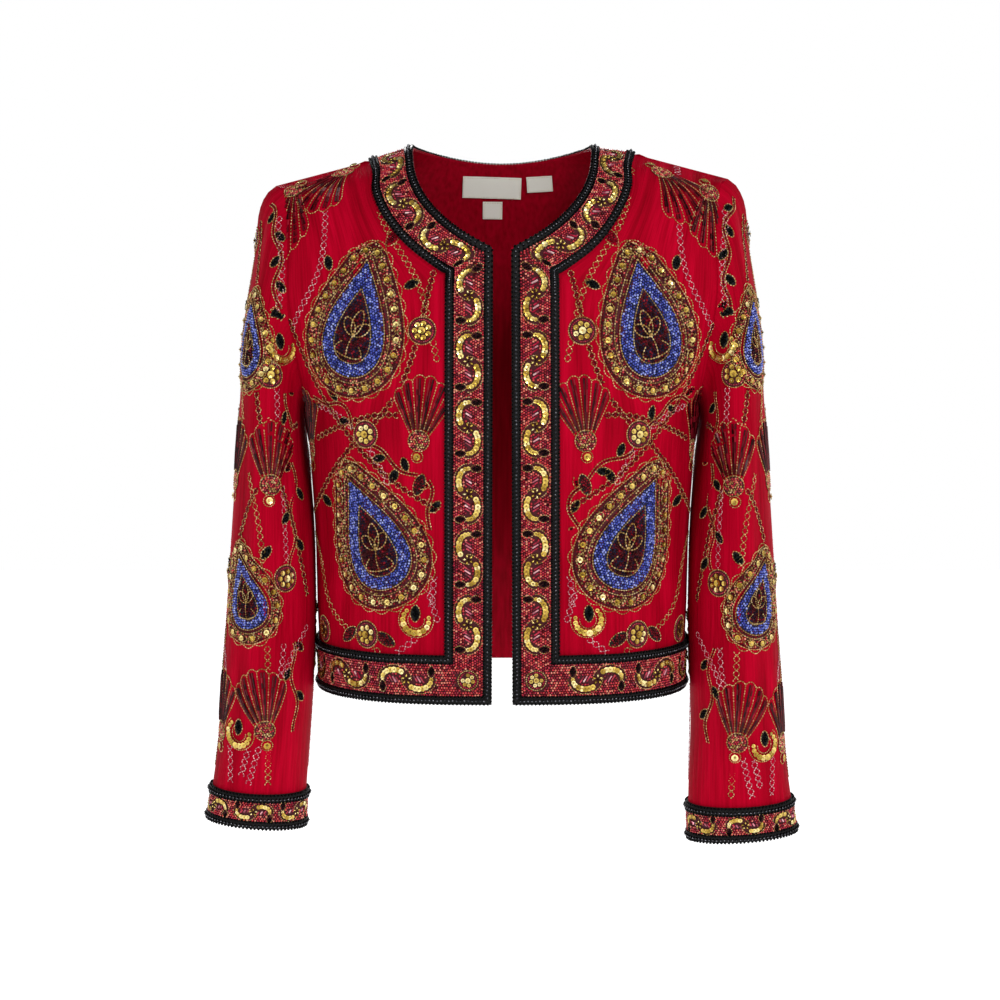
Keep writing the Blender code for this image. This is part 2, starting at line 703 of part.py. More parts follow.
def add_object(name, points, faces, finish):
    """Adds one closed mesh with a material of its own."""
    mesh = bpy.data.meshes.new(name)
    mesh.from_pydata([tuple(p) for p in points], [], faces)
    mesh.validate()
    mesh.shade_smooth()
    mesh.set_sharp_from_angle(angle=SHARP_ANGLE)
    material = bpy.data.materials.new(name)
    material.use_nodes = True
    shader = material.node_tree.nodes["Principled BSDF"]
    shader.inputs["Base Color"].default_value = (*finish.colour, 1.0)
    shader.inputs["Roughness"].default_value = finish.roughness
    shader.inputs["Metallic"].default_value = finish.metallic
    mesh.materials.append(material)
    thing = bpy.data.objects.new(name, mesh)
    bpy.context.scene.collection.objects.link(thing)
    return thing


def level(height):
    """The same height at every point."""
    return lambda key: height


def crown(test):
    """Height of an edging: its crown where the test holds, its side elsewhere."""
    return lambda key: EDGING_CROWN if test(key) else EDGING_SIDE


def lie(name, sheet, keep, high, finish):
    """Band or edging over the cells that `keep` picks, just clear of the panel below it."""
    cells = [cell for cell in sheet.cells if keep(min(c[0] for c in cell), min(c[1] for c in cell))]
    return slab(name, sheet, cells, level(LIFT), high, SEAM_GAP / 2, finish)


def trim_front(side_name, sheet):
    """Band down the neckline and front edge and round the front hem, with its two edgings."""
    def corner(line):
        """Whether a grid place is on a line of the mitred band."""
        return lambda key: min(key) == line

    lie(f"edging_outer_front_{side_name}", sheet, lambda j, k: min(j, k) < FIELD,
        crown(corner(OUTER_CROWN)), BLACK_BEADS)
    lie(f"border_front_{side_name}", sheet, lambda j, k: min(j, k) == FIELD,
        level(FIELD_HEIGHT), CORAL_BEADS)
    lie(f"edging_inner_front_{side_name}", sheet, lambda j, k: FIELD < min(j, k) < BAND_COLUMNS,
        crown(corner(INNER_CROWN)), BLACK_BEADS)


def trim_back(sheet):
    """Bands round the back hem and the back neck, each with its two edgings."""
    lie("edging_outer_back_hem", sheet, lambda j, k: k < FIELD,
        crown(lambda key: key[1] == OUTER_CROWN), BLACK_BEADS)
    lie("border_back_hem", sheet, lambda j, k: k == FIELD, level(FIELD_HEIGHT), CORAL_BEADS)
    lie("edging_inner_back_hem", sheet, lambda j, k: FIELD < k < BAND_COLUMNS,
        crown(lambda key: key[1] == INNER_CROWN), BLACK_BEADS)
    top = len(row_heights()) - 1 + ARMHOLE_ROWS
    last = top + BAND_COLUMNS
    field = last - 1 - FIELD
    lie("edging_inner_back_neck", sheet, lambda j, k: top <= k < field,
        crown(lambda key: key[1] == last - INNER_CROWN), BLACK_BEADS)
    lie("border_back_neck", sheet, lambda j, k: k == field, level(FIELD_HEIGHT), CORAL_BEADS)
    lie("edging_outer_back_neck", sheet, lambda j, k: k > field,
        crown(lambda key: key[1] == last - OUTER_CROWN), BLACK_BEADS)


def trim_cuff(side_name, sheet):
    """Band round a cuff with its two edgings."""
    last = max(key[1] for key in sheet.keys)
    field = last - 1 - FIELD
    lie(f"edging_lower_cuff_{side_name}", sheet, lambda j, k: k > field,
        crown(lambda key: key[1] == last - OUTER_CROWN), BLACK_BEADS)
    lie(f"border_cuff_{side_name}", sheet, lambda j, k: k == field, level(FIELD_HEIGHT), CORAL_BEADS)
    lie(f"edging_upper_cuff_{side_name}", sheet, lambda j, k: last - BAND_COLUMNS <= k < field,
        crown(lambda key: key[1] == last - INNER_CROWN), BLACK_BEADS)


def line_back(sheet):
    """Lining of the back, just inside its wall, from above the hem to the neckline."""
    underarm = len(row_heights()) - 1
    last = BAND_COLUMNS + SIDE_COLUMNS
    cells = []
    for cell in sheet.cells:
        row = min(corner[1] for corner in cell)
        out = max(abs(corner[0]) for corner in cell)
        if row >= 1 and not (out == last and row >= underarm - 1):
            cells.append(cell)
    outside = WALL + LINING_GAP
    return slab("lining_back", sheet, cells, level(-outside - LINING_WALL), level(-outside), 0, LINING)


def add_label(name, label, lining):
    """Woven label sewn on the lining: a thin strip that follows the back inside the neck."""
    across, down = 4, 2
    slope = depth(label.x, label.z - LABEL_PROBE, BACK) - depth(label.x, label.z + LABEL_PROBE, BACK)
    shorten = 1 / math.hypot(1, float(slope) / (2 * LABEL_PROBE))
    tilt = math.radians(label.tilt)
    face = BVHTree.FromObject(lining, bpy.context.evaluated_depsgraph_get())
    grid = {}
    for i in range(across + 1):
        for k in range(down + 1):
            u = (i / across - 0.5) * label.width
            v = (k / down - 0.5) * label.height
            x = label.x + u * math.cos(tilt) - v * math.sin(tilt)
            z = label.z + (u * math.sin(tilt) + v * math.cos(tilt)) * shorten
            over_x = on_form(x + LABEL_PROBE, z, BACK) - on_form(x - LABEL_PROBE, z, BACK)
            over_z = on_form(x, z + LABEL_PROBE, BACK) - on_form(x, z - LABEL_PROBE, BACK)
            outward = unit(np.cross(over_z, over_x))
            inside = Vector(on_form(x, z, BACK) - outward * LABEL_SEARCH)
            hit = face.ray_cast(inside, Vector(outward))[0]
            grid[(i, k)] = np.array(hit) - outward * LABEL_LIFT
    cells = [((i, k), (i + 1, k), (i + 1, k + 1), (i, k + 1)) for i in range(across) for k in range(down)]
    sheet = Sheet(grid, cells)
    slab(name, sheet, sheet.cells, level(0.0), level(LABEL_WALL), 0, CREAM_TAPE)


def build():
    """Builds every piece of the jacket."""
    for thing in list(bpy.data.objects):
        bpy.data.objects.remove(thing)
    front = front_grid()
    back = back_grid()
    add_body_folds(front, FRONT, FRONT_FOLDS, BAND_COLUMNS)
    add_body_folds(back, BACK, BACK_FOLDS, 0)
    ring = 2 * ARMHOLE_ROWS
    sleeve_left = sleeve_grid(LEFT_SLEEVE_DROP, LEFT_CUFF_WIDER)
    sleeve_right = sleeve_grid(0.0, 0.0)
    add_sleeve_folds(sleeve_left)
    add_sleeve_folds(sleeve_right)

    sheets = {
        "front_left": grid_sheet(front),
        "front_right": grid_sheet(front, mirrored=True),
        "back": grid_sheet(back, whole=True),
        "sleeve_left": grid_sheet(sleeve_left, ring=ring),
        "sleeve_right": grid_sheet(sleeve_right, mirrored=True, ring=ring),
    }
    sheets["back"].turn_over()
    for sheet in sheets.values():
        settle(sheet.points)
        sheet.measure()
    join_seams(list(sheets.values()))
    for name, sheet in sheets.items():
        slab(name, sheet, sheet.cells, level(-WALL), level(0.0), 0, SILK)
    lining = line_back(sheets["back"])
    for side_name in ("left", "right"):
        trim_front(side_name, sheets[f"front_{side_name}"])
        trim_cuff(side_name, sheets[f"sleeve_{side_name}"])
    trim_back(sheets["back"])
    for name, label in LABELS.items():
        add_label(name, label, lining)


build()
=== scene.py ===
"""Looks of a short beaded evening jacket, hollow as worn.

The crepe shell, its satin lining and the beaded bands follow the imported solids: the same sizes and
curves are worked out here on a finer grid. Beads, bugles and sequins are charted flat, in
millimetres, and sewn to the cloth one by one as joined meshes. Lengths are in metres elsewhere; the
front faces -Y, +Z is up and the wearer's left is +X.
"""
import sys

import logging
import math
from collections.abc import Callable, Sequence
from dataclasses import dataclass, field
from enum import Enum

import bpy
import numpy as np
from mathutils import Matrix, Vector
from mathutils.bvhtree import BVHTree


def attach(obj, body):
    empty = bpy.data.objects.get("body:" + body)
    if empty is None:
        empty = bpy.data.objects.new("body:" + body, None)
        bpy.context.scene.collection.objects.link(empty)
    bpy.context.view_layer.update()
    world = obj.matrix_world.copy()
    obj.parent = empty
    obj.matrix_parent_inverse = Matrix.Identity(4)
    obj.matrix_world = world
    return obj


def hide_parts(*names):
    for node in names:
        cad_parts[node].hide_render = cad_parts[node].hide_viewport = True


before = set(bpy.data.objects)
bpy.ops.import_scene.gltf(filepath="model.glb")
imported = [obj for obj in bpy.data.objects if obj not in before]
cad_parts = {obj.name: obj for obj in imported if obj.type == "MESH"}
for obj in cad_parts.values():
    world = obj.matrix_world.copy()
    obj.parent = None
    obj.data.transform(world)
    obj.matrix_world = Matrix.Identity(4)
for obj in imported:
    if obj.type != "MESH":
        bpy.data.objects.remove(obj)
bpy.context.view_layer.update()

log = logging.getLogger("jacket")
random = np.random.default_rng(20)

MM = 0.001
JACKET_MIDDLE = Vector((0.0, 0.0, -0.3))


class Side(Enum):
    """Which half of the body a point lies on, as the sign of its Y."""

    FRONT = -1.0
    BACK = 1.0


@dataclass(frozen=True)
class Section:
    """Half width and depths of the body at one height."""

    z: float
    half_width: float
    front: float
    back: float


@dataclass(frozen=True)
class Ring:
    """One ring of a sleeve, spanned between its outer and inner points."""

    out_x: float
    out_z: float
    in_x: float
    in_z: float
    half_depth: float
    y_mid: float


@dataclass(frozen=True)
class Fold:
    """One soft crease: a trough where `height` is negative.

    `at` is x on the body and the turn in degrees on a sleeve, and `drift` is how far it wanders
    sideways from its top to its bottom.
    """

    at: float
    z_top: float
    z_bottom: float
    width: float
    height: float
    drift: float = 0.0


def smooth_curve(knots: Sequence[float], values: Sequence[float], at: np.ndarray) -> np.ndarray:
    """Cubic curve through the values, flat at a turning point so that it never overshoots.

    Args:
        knots: Places of the values, rising.
        values: One value for each knot.
        at: Places to read.

    Returns:
        The curve's values at `at`.
    """
    knots, values = np.asarray(knots, float), np.asarray(values, float)
    steps = np.diff(knots)
    slopes = np.diff(values) / steps
    bends = np.zeros(len(knots))
    bends[0], bends[-1] = slopes[0], slopes[-1]
    w1, w2 = 2 * steps[1:] + steps[:-1], steps[1:] + 2 * steps[:-1]
    same = slopes[:-1] * slopes[1:] > 0
    safe_low, safe_high = np.where(same, slopes[:-1], 1.0), np.where(same, slopes[1:], 1.0)
    bends[1:-1] = np.where(same, (w1 + w2) / (w1 / safe_low + w2 / safe_high), 0.0)
    at = np.clip(at, knots[0], knots[-1])
    i = np.clip(np.searchsorted(knots, at) - 1, 0, len(steps) - 1)
    t = (at - knots[i]) / steps[i]
    low = (1 + 2 * t) * (1 - t) ** 2 * values[i] + t * (1 - t) ** 2 * steps[i] * bends[i]
    return low + t * t * (3 - 2 * t) * values[i + 1] + t * t * (t - 1) * steps[i] * bends[i + 1]


def soft_step(low: float, high: float, value: np.ndarray) -> np.ndarray:
    """0 at `low`, 1 at `high`, smooth between."""
    t = np.clip((value - low) / (high - low), 0, 1)
    return t * t * (3 - 2 * t)


def unit(vectors: np.ndarray) -> np.ndarray:
    """The vectors at length 1."""
    return vectors / np.maximum(np.linalg.norm(vectors, axis=-1, keepdims=True), 1e-12)


def run_of(points: np.ndarray) -> np.ndarray:
    """Length along a line of points, from 0 at its first."""
    return np.concatenate([[0.0], np.cumsum(np.linalg.norm(np.diff(points, axis=0), axis=1))])


def spaced(curve: np.ndarray, lengths: Sequence[float]) -> np.ndarray:
    """Points at given lengths along a dense curve."""
    run = run_of(curve)
    return np.column_stack([np.interp(lengths, run, curve[:, c]) for c in range(curve.shape[1])])


@dataclass(frozen=True)
class Pattern:
    """The jacket's cut: its form, its seams and the bands along its edges, as the solids have them."""

    wall: float = 1.6 * MM
    edging: float = 8 * MM
    front_band: float = 43 * MM
    hem_band: float = 45 * MM
    cuff_band: float = 34 * MM
    hem_z: float = -0.507
    armpit_z: float = -0.245
    shoulder_z: float = -0.034
    neck_corner: tuple[float, float] = (0.0082, -0.094)
    neck_high: tuple[float, float] = (0.083, 0.0)
    front_neck_pull: tuple = ((0.045, -0.076), (0.084, -0.050))
    back_neck_centre: tuple[float, float] = (0.0, -0.0136)
    back_neck_pull: tuple = ((0.035, -0.0136), (0.070, -0.004))
    hem_opening: float = 0.0095
    shoulder_slope: float = 0.262
    neck_rise: float = 0.030
    armhole_front: float = 0.069
    armhole_back: float = 0.073
    armhole_egg: float = 0.17
    section_across: float = 2.8
    section_deep: float = 2.3
    shoulder_front: tuple[float, float] = (4.5, 0.52)
    shoulder_back: tuple[float, float] = (6.0, 0.50)
    body: tuple[Section, ...] = (
        Section(-0.507, 0.1740, 0.1260, 0.1250),
        Section(-0.440, 0.1755, 0.1240, 0.1180),
        Section(-0.375, 0.1765, 0.1230, 0.1100),
        Section(-0.300, 0.1808, 0.1250, 0.1100),
        Section(-0.245, 0.1860, 0.1240, 0.1130),
        Section(-0.190, 0.2060, 0.1200, 0.1130),
        Section(-0.140, 0.2230, 0.1120, 0.1080),
        Section(-0.090, 0.2290, 0.0980, 0.0940),
        Section(-0.030, 0.2310, 0.0830, 0.0760),
        Section(0.000, 0.2310, 0.0760, 0.0690),
    )
    sleeve: tuple[Ring, ...] = (
        Ring(0.2128, -0.034, 0.1860, -0.245, 0.071, 0.002),
        Ring(0.2205, -0.040, 0.1866, -0.248, 0.072, 0.002),
        Ring(0.2275, -0.054, 0.1872, -0.252, 0.073, 0.002),
        Ring(0.2310, -0.080, 0.1875, -0.257, 0.074, 0.001),
        Ring(0.2340, -0.105, 0.1873, -0.262, 0.075, 0.001),
        Ring(0.2390, -0.135, 0.1868, -0.269, 0.076, 0.000),
        Ring(0.2440, -0.175, 0.1858, -0.278, 0.076, -0.001),
        Ring(0.2475, -0.232, 0.1840, -0.295, 0.075, -0.003),
        Ring(0.2510, -0.290, 0.1806, -0.325, 0.072, -0.012),
        Ring(0.2555, -0.360, 0.1775, -0.370, 0.068, -0.020),
        Ring(0.2600, -0.430, 0.1764, -0.430, 0.063, -0.027),
        Ring(0.2650, -0.500, 0.1788, -0.500, 0.056, -0.031),
        Ring(0.2695, -0.560, 0.1830, -0.560, 0.048, -0.032),
        Ring(0.2755, -0.600, 0.1865, -0.605, 0.040, -0.031),
        Ring(0.2800, -0.633, 0.1890, -0.641, 0.034, -0.031),
    )
    sleeve_rows: tuple[float, ...] = (0, 1, 2, 3, 4, 5, 6, 7, 7.5, 8, 8.5, 9, 9.5, 10, 10.5, 11, 11.5, 12)
    sleeve_blend_rows: int = 6
    cuff_row: int = 13
    drop_from_z: float = -0.25
    wider_from_z: float = -0.50
    left_sleeve_drop: float = 0.013
    left_cuff_wider: float = 0.010
    left_shoulder_lift: float = 0.0050
    right_shoulder_lift: float = -0.0015
    lift_out: float = 0.13
    lift_up: float = -0.06
    band_columns: int = 5
    side_columns: int = 7
    body_rows: int = 7
    armhole_rows: int = 10
    neck_rows: int = 6
    evening_passes: int = 12

    @property
    def columns(self) -> int:
        """Columns of a front, and of half the back."""
        return self.band_columns + self.side_columns

    @property
    def underarm_row(self) -> int:
        """Row of the body's grids that runs through the underarm."""
        return self.band_columns + self.body_rows

    @property
    def top_row(self) -> int:
        """Row of the body's grids along the shoulder."""
        return self.underarm_row + self.armhole_rows

    @property
    def corner_row(self) -> int:
        """Row of a front's grid through the corner of the neckline."""
        return self.top_row - self.neck_rows

    @property
    def cuff_top_row(self) -> int:
        """First row of a sleeve's cuff band."""
        return len(self.sleeve_rows)

    @property
    def turns(self) -> int:
        """Points round a sleeve's ring."""
        return 2 * self.armhole_rows

    def stops(self, band: float) -> np.ndarray:
        """Lines of a band from the garment's edge: edging, its crown, field, edging, its crown."""
        return np.array([0, self.edging / 2, self.edging, band - self.edging, band - self.edging / 2, band])

    def body_size(self, z: np.ndarray, column: str) -> np.ndarray:
        """Half width or depth of the body's section at some heights."""
        return smooth_curve([s.z for s in self.body], [getattr(s, column) for s in self.body], z)

    def ridge(self, x: np.ndarray) -> np.ndarray:
        """Height of the shoulder line over x, and of the form's top inside the neck."""
        x = np.abs(x)
        inside = self.neck_rise * (1 - (x / self.neck_high[0]) ** 2)
        return np.where(x < self.neck_high[0], inside, -self.shoulder_slope * (x - self.neck_high[0]))

    def depth(self, x: np.ndarray, z: np.ndarray, side: Side) -> np.ndarray:
        """Distance of the body's form from the plane of the shoulder seams."""
        across = np.clip(np.abs(x) / self.body_size(z, "half_width"), 0, 1)
        size = self.body_size(z, "front" if side is Side.FRONT else "back")
        power, root = self.shoulder_front if side is Side.FRONT else self.shoulder_back
        up = np.clip((z - self.armpit_z) / (self.ridge(x) - self.armpit_z), 0, 1)
        section = (1 - across ** self.section_across) ** (1 / self.section_deep)
        return size * section * (1 - up ** power) ** root

    def on_form(self, x: np.ndarray, z: np.ndarray, side: Side) -> np.ndarray:
        """Points of the body's form in the front view or the back view."""
        x, z = np.asarray(x, float), np.asarray(z, float)
        return np.stack([x, side.value * self.depth(x, z, side), z], axis=-1)

    def level_row(self, x_start: float, z: float, side: Side, stops: np.ndarray,
                  columns: int) -> np.ndarray:
        """Row of the body at one height: fixed stops from its inner end, then equal shares."""
        width = float(self.body_size(z, "half_width"))
        xs = x_start + (width - x_start) * (1 - (1 - np.linspace(0, 1, 400)) ** 3)
        curve = self.on_form(xs, np.full(400, z), side)
        total = run_of(curve)[-1]
        shares = stops[-1] + (total - stops[-1]) * np.arange(1, columns + 1) / columns
        row = spaced(curve, [*stops, *shares])
        row[-1] = (width, 0.0, z)
        return row

    def march(self, start: np.ndarray, heading: np.ndarray, side: Side, stops: np.ndarray) -> np.ndarray:
        """Points on the form at given lengths from a point, straight in the front view."""
        t = np.linspace(0, stops[-1] * 1.4, 240)
        row = spaced(self.on_form(start[0] + t * heading[0], start[2] + t * heading[1], side), stops)
        return self.on_form(row[:, 0], row[:, 2], side)

    def seam_row(self, stops: np.ndarray) -> np.ndarray:
        """Points along the shoulder seam at given lengths from the neck."""
        run = np.asarray(stops) / math.hypot(1, self.shoulder_slope)
        return np.stack([self.neck_high[0] + run, 0 * run, -self.shoulder_slope * run], axis=-1)

    def square_to(self, before: np.ndarray, after: np.ndarray, here: np.ndarray, side: Side) -> np.ndarray:
        """Heading on the form square to a line through two points, in the front view."""
        small = 0.2 * MM
        over_x = self.on_form(here[0] + small, here[2], side) - self.on_form(here[0] - small, here[2], side)
        over_z = self.on_form(here[0], here[2] + small, side) - self.on_form(here[0], here[2] - small, side)
        across = np.cross(unit(after - before), unit(np.cross(over_x, over_z)))
        return unit(across[[0, 2]])

    def neckline(self, centre: tuple, pulls: tuple, side: Side, parts: int) -> np.ndarray:
        """Equal steps along the neckline's curve, from its lowest point to the shoulder."""
        t = np.linspace(0, 1, 300)[:, None]
        a, b, c, d = (np.array(p, float) for p in (centre, *pulls, self.neck_high))
        flat = (1 - t) ** 3 * a + 3 * t * (1 - t) ** 2 * b + 3 * t * t * (1 - t) * c + t ** 3 * d
        curve = self.on_form(flat[:, 0], flat[:, 1], side)
        return spaced(curve, run_of(curve)[-1] * np.arange(parts + 1) / parts)

    def armhole(self, side: Side) -> np.ndarray:
        """Points of the armhole from the underarm to the shoulder."""
        turn = np.pi * np.arange(self.armhole_rows + 1) / self.armhole_rows
        z = (self.shoulder_z + self.armpit_z - (self.shoulder_z - self.armpit_z) * np.cos(turn)) / 2
        reach = self.armhole_front if side is Side.FRONT else self.armhole_back
        y = reach * np.sin(turn) * (1 - self.armhole_egg * (1 - np.cos(turn)) / 2)
        low, high = np.full(len(z), 0.10), self.body_size(z, "half_width")
        for _ in range(50):
            x = (low + high) / 2
            inside = self.depth(x, z, side) > y
            low, high = np.where(inside, x, low), np.where(inside, high, x)
        points = np.stack([low, side.value * y, z], axis=-1)
        points[0] = (float(self.body_size(self.armpit_z, "half_width")), 0.0, self.armpit_z)
        points[-1] = (self.neck_high[0] - self.shoulder_z / self.shoulder_slope, 0.0, self.shoulder_z)
        return points

    def fill(self, grid: np.ndarray, side: Side) -> None:
        """Spreads the inner points of a stretch between its edges, then evens them out.

        Args:
            grid: The stretch, rows by columns, with its four edges in place. It is changed.
            side: Half of the body that it lies on.
        """
        rows, columns = grid.shape[0] - 1, grid.shape[1] - 1
        v = (np.arange(1, rows) / rows)[:, None, None]
        u = (np.arange(1, columns) / columns)[None, :, None]
        flat = (1 - v) * grid[:1, 1:-1] + v * grid[-1:, 1:-1]
        flat = flat + (1 - u) * grid[1:-1, :1] + u * grid[1:-1, -1:]
        flat = flat - ((1 - u) * (1 - v) * grid[0, 0] + u * (1 - v) * grid[0, -1]
                       + (1 - u) * v * grid[-1, 0] + u * v * grid[-1, -1])
        grid[1:-1, 1:-1] = self.on_form(flat[..., 0], flat[..., 2], side)
        for _ in range(self.evening_passes):
            for k in range(1, rows):
                for j in range(1, columns):
                    middle = (grid[k, j - 1] + grid[k, j + 1] + grid[k - 1, j] + grid[k + 1, j]) / 4
                    grid[k, j] = self.on_form(middle[0], middle[2], side)

    def row_heights(self) -> np.ndarray:
        """Heights of the level rows, from the hem to the underarm."""
        stops = self.hem_z + self.stops(self.hem_band)
        share = (self.armpit_z - stops[-1]) / self.body_rows
        return np.concatenate([stops, stops[-1] + share * np.arange(1, self.body_rows + 1)])

    def shoulder_stops(self) -> np.ndarray:
        """Lengths along the shoulder seam of the columns beyond the neck band."""
        length = -self.shoulder_z / self.shoulder_slope * math.hypot(1, self.shoulder_slope)
        steps = np.arange(1, self.side_columns + 1)
        return self.front_band + (length - self.front_band) * steps / self.side_columns

    def front(self) -> np.ndarray:
        """Grid of the wearer's left front: column 0 is the front edge and row 0 the hem."""
        grid = np.zeros((self.top_row + 1, self.columns + 1, 3))
        stops = self.stops(self.front_band)
        rise = self.neck_corner[1] - self.hem_z

        def edge_x(z: float) -> float:
            """Place of the front edge at a height."""
            return self.hem_opening + (self.neck_corner[0] - self.hem_opening) * (z - self.hem_z) / rise

        for k, z in enumerate(self.row_heights()):
            grid[k] = self.level_row(edge_x(z), z, Side.FRONT, stops, self.side_columns)
        straight = self.armhole_rows - self.neck_rows
        heights = self.armpit_z + (self.neck_corner[1] - self.armpit_z) * np.arange(straight + 1) / straight
        edge = [self.on_form(edge_x(z), z, Side.FRONT) for z in heights]
        edge += list(self.neckline(self.neck_corner, self.front_neck_pull, Side.FRONT, self.neck_rows)[1:])
        for k in range(1, self.armhole_rows):
            stretch = 1.0
            if k == straight:
                up, over = unit(edge[k] - edge[k - 1]) * MM, unit(edge[k + 1] - edge[k]) * MM
                below = self.square_to(edge[k] - up, edge[k] + up, edge[k], Side.FRONT)
                above = self.square_to(edge[k] - over, edge[k] + over, edge[k], Side.FRONT)
                heading = unit(below + above)
                stretch = 1 / float(heading @ below)
            else:
                heading = self.square_to(edge[k - 1], edge[k + 1], edge[k], Side.FRONT)
            row = self.march(edge[k], heading, Side.FRONT, stops * stretch)
            grid[self.underarm_row + k, :len(stops)] = row
        grid[self.top_row] = self.seam_row([*stops, *self.shoulder_stops()])
        grid[self.underarm_row:, -1] = self.armhole(Side.FRONT)
        self.fill(grid[self.underarm_row:, self.band_columns:], Side.FRONT)
        return grid

    def back_half(self) -> np.ndarray:
        """Grid of the back's left half with the neck band's rows above its top row."""
        rows = self.top_row + 1 + self.band_columns
        grid = np.full((rows, self.columns + 1, 3), np.nan)
        for k, z in enumerate(self.row_heights()):
            grid[k] = self.level_row(0.0, z, Side.BACK, np.array([0.0]), self.columns)
        stops = self.stops(self.front_band)
        line = self.neckline(self.back_neck_centre, self.back_neck_pull, Side.BACK, self.band_columns)
        for j in range(self.band_columns):
            heading = np.array([0.0, -1.0])
            if j > 0:
                heading = self.square_to(line[j - 1], line[j + 1], line[j], Side.BACK)
            grid[self.top_row:, j] = self.march(line[j], heading, Side.BACK, stops)[::-1]
        grid[self.top_row:, self.band_columns] = self.seam_row(stops)[::-1]
        grid[self.top_row, self.band_columns + 1:] = self.seam_row(self.shoulder_stops())
        block = grid[self.underarm_row:self.top_row + 1]
        block[:, -1] = self.armhole(Side.BACK)
        low, high = block[0, 0, 2], block[-1, 0, 2]
        for k in range(1, self.armhole_rows):
            block[k, 0] = self.on_form(0.0, low + (high - low) * k / self.armhole_rows, Side.BACK)
        self.fill(block, Side.BACK)
        return grid

    def sleeve_ring(self, row: float) -> tuple[np.ndarray, np.ndarray, np.ndarray]:
        """Outer point, inner point and ring of the sleeve at a row of its table."""
        knots = range(len(self.sleeve))
        out_x, out_z, in_x, in_z, half_depth, y_mid = (
            float(smooth_curve(knots, [getattr(r, name) for r in self.sleeve], row))
            for name in ("out_x", "out_z", "in_x", "in_z", "half_depth", "y_mid"))
        outer, inner = np.array([out_x, 0.0, out_z]), np.array([in_x, 0.0, in_z])
        turn = 2 * np.pi * np.arange(self.turns) / self.turns
        ring = (outer + inner) / 2 + (outer - inner) / 2 * np.cos(turn)[:, None]
        ring[:, 1] = y_mid - half_depth * np.sin(turn)
        return outer, inner, ring

    def sleeve_grid(self, drop: float, wider: float) -> np.ndarray:
        """Grid of one sleeve, as on the wearer's left: row 0 is the armhole, the last rows the cuff."""
        seam = np.concatenate([self.armhole(Side.FRONT)[::-1], self.armhole(Side.BACK)[1:-1]])
        first_out, first_in, _ = self.sleeve_ring(0)
        turn = 2 * np.pi * np.arange(self.turns) / self.turns
        share = (1 + np.cos(turn))[:, None] / 2
        rows = []
        for row in self.sleeve_rows:
            outer, inner, ring = self.sleeve_ring(row)
            weight = float(soft_step(0, self.sleeve_blend_rows, row))
            shift = share * (outer - first_out) + (1 - share) * (inner - first_in)
            rows.append((1 - weight) * (seam + shift) + weight * ring)
        top, end = self.sleeve_ring(self.cuff_row)[2], self.sleeve_ring(len(self.sleeve) - 1)[2]
        for stop in self.stops(self.cuff_band)[::-1]:
            rows.append(top + (end - top) * (1 - stop / self.cuff_band))
        grid = np.array(rows)
        end_z = self.sleeve[-1].out_z
        lean = (1 - np.cos(turn)) / 2
        grid[..., 0] -= wider * lean * soft_step(-self.wider_from_z, -end_z, -grid[..., 2])
        grid[..., 2] -= drop * soft_step(-self.drop_from_z, -end_z, -grid[..., 2])
        return grid

    def settle(self, points: np.ndarray) -> np.ndarray:
        """Raises or lowers the shoulders, with nothing moved at the neck and below the armholes."""
        lift = np.where(points[..., 0] > 0, self.left_shoulder_lift, self.right_shoulder_lift)
        share = soft_step(self.neck_high[0], self.lift_out, np.abs(points[..., 0]))
        points[..., 2] += lift * share * soft_step(self.armpit_z, self.lift_up, points[..., 2])
        return points


PATTERN = Pattern()

FRONT_FOLDS = (
    Fold(0.150, -0.190, -0.440, 0.014, -0.0035),
    Fold(0.172, -0.250, -0.470, 0.012, 0.0030),
    Fold(0.160, -0.060, -0.210, 0.014, -0.0025),
    Fold(0.105, -0.330, -0.520, 0.016, 0.0020),
)
BACK_FOLDS = (
    Fold(0.155, -0.150, -0.430, 0.014, -0.0035),
    Fold(0.120, -0.200, -0.480, 0.016, 0.0025),
    Fold(0.060, -0.280, -0.520, 0.020, -0.0020),
)
SLEEVE_FOLDS = (
    Fold(118, -0.240, -0.500, 17, -0.0050),
    Fold(84, -0.300, -0.560, 16, 0.0030),
    Fold(52, -0.260, -0.420, 16, -0.0030),
    Fold(232, -0.240, -0.520, 18, -0.0045),
    Fold(292, -0.280, -0.470, 17, -0.0030),
)


def fold_height(place: np.ndarray, z: np.ndarray, folds: Sequence[Fold]) -> np.ndarray:
    """Height of the soft folds at some points, where `place` is x or the turn."""
    total = np.zeros(np.broadcast(place, z).shape)
    for fold in folds:
        reach = (fold.z_top - fold.z_bottom) / 4
        line = fold.at + fold.drift * (fold.z_top - z) / (fold.z_top - fold.z_bottom)
        rise = soft_step(fold.z_bottom, fold.z_bottom + reach, z)
        fall = 1 - soft_step(fold.z_top - reach, fold.z_top, z)
        total += fold.height * np.exp(-((place - line) / fold.width) ** 2) * rise * fall
    return total


def fold_body(grid: np.ndarray, side: Side, folds: Sequence[Fold], flat_columns: int) -> None:
    """Moves a body grid's inner points to make its large folds."""
    columns, top = PATTERN.columns, PATTERN.top_row
    part = grid[:top]
    k, j = np.mgrid[:top, :grid.shape[1]]
    near = soft_step(flat_columns, flat_columns + 2, j) * (1 - soft_step(columns - 2, columns, j))
    near = near * soft_step(0, 5, k) * (1 - soft_step(top - 4, top, k))
    size = fold_height(np.abs(part[..., 0]), part[..., 2], folds) * near
    lean = np.abs(part[..., 0]) / PATTERN.body_size(part[..., 2], "half_width")
    part[..., 0] += size * 0.7 * lean
    part[..., 1] += side.value * size * np.sqrt(np.clip(1 - lean * lean, 0, 1))


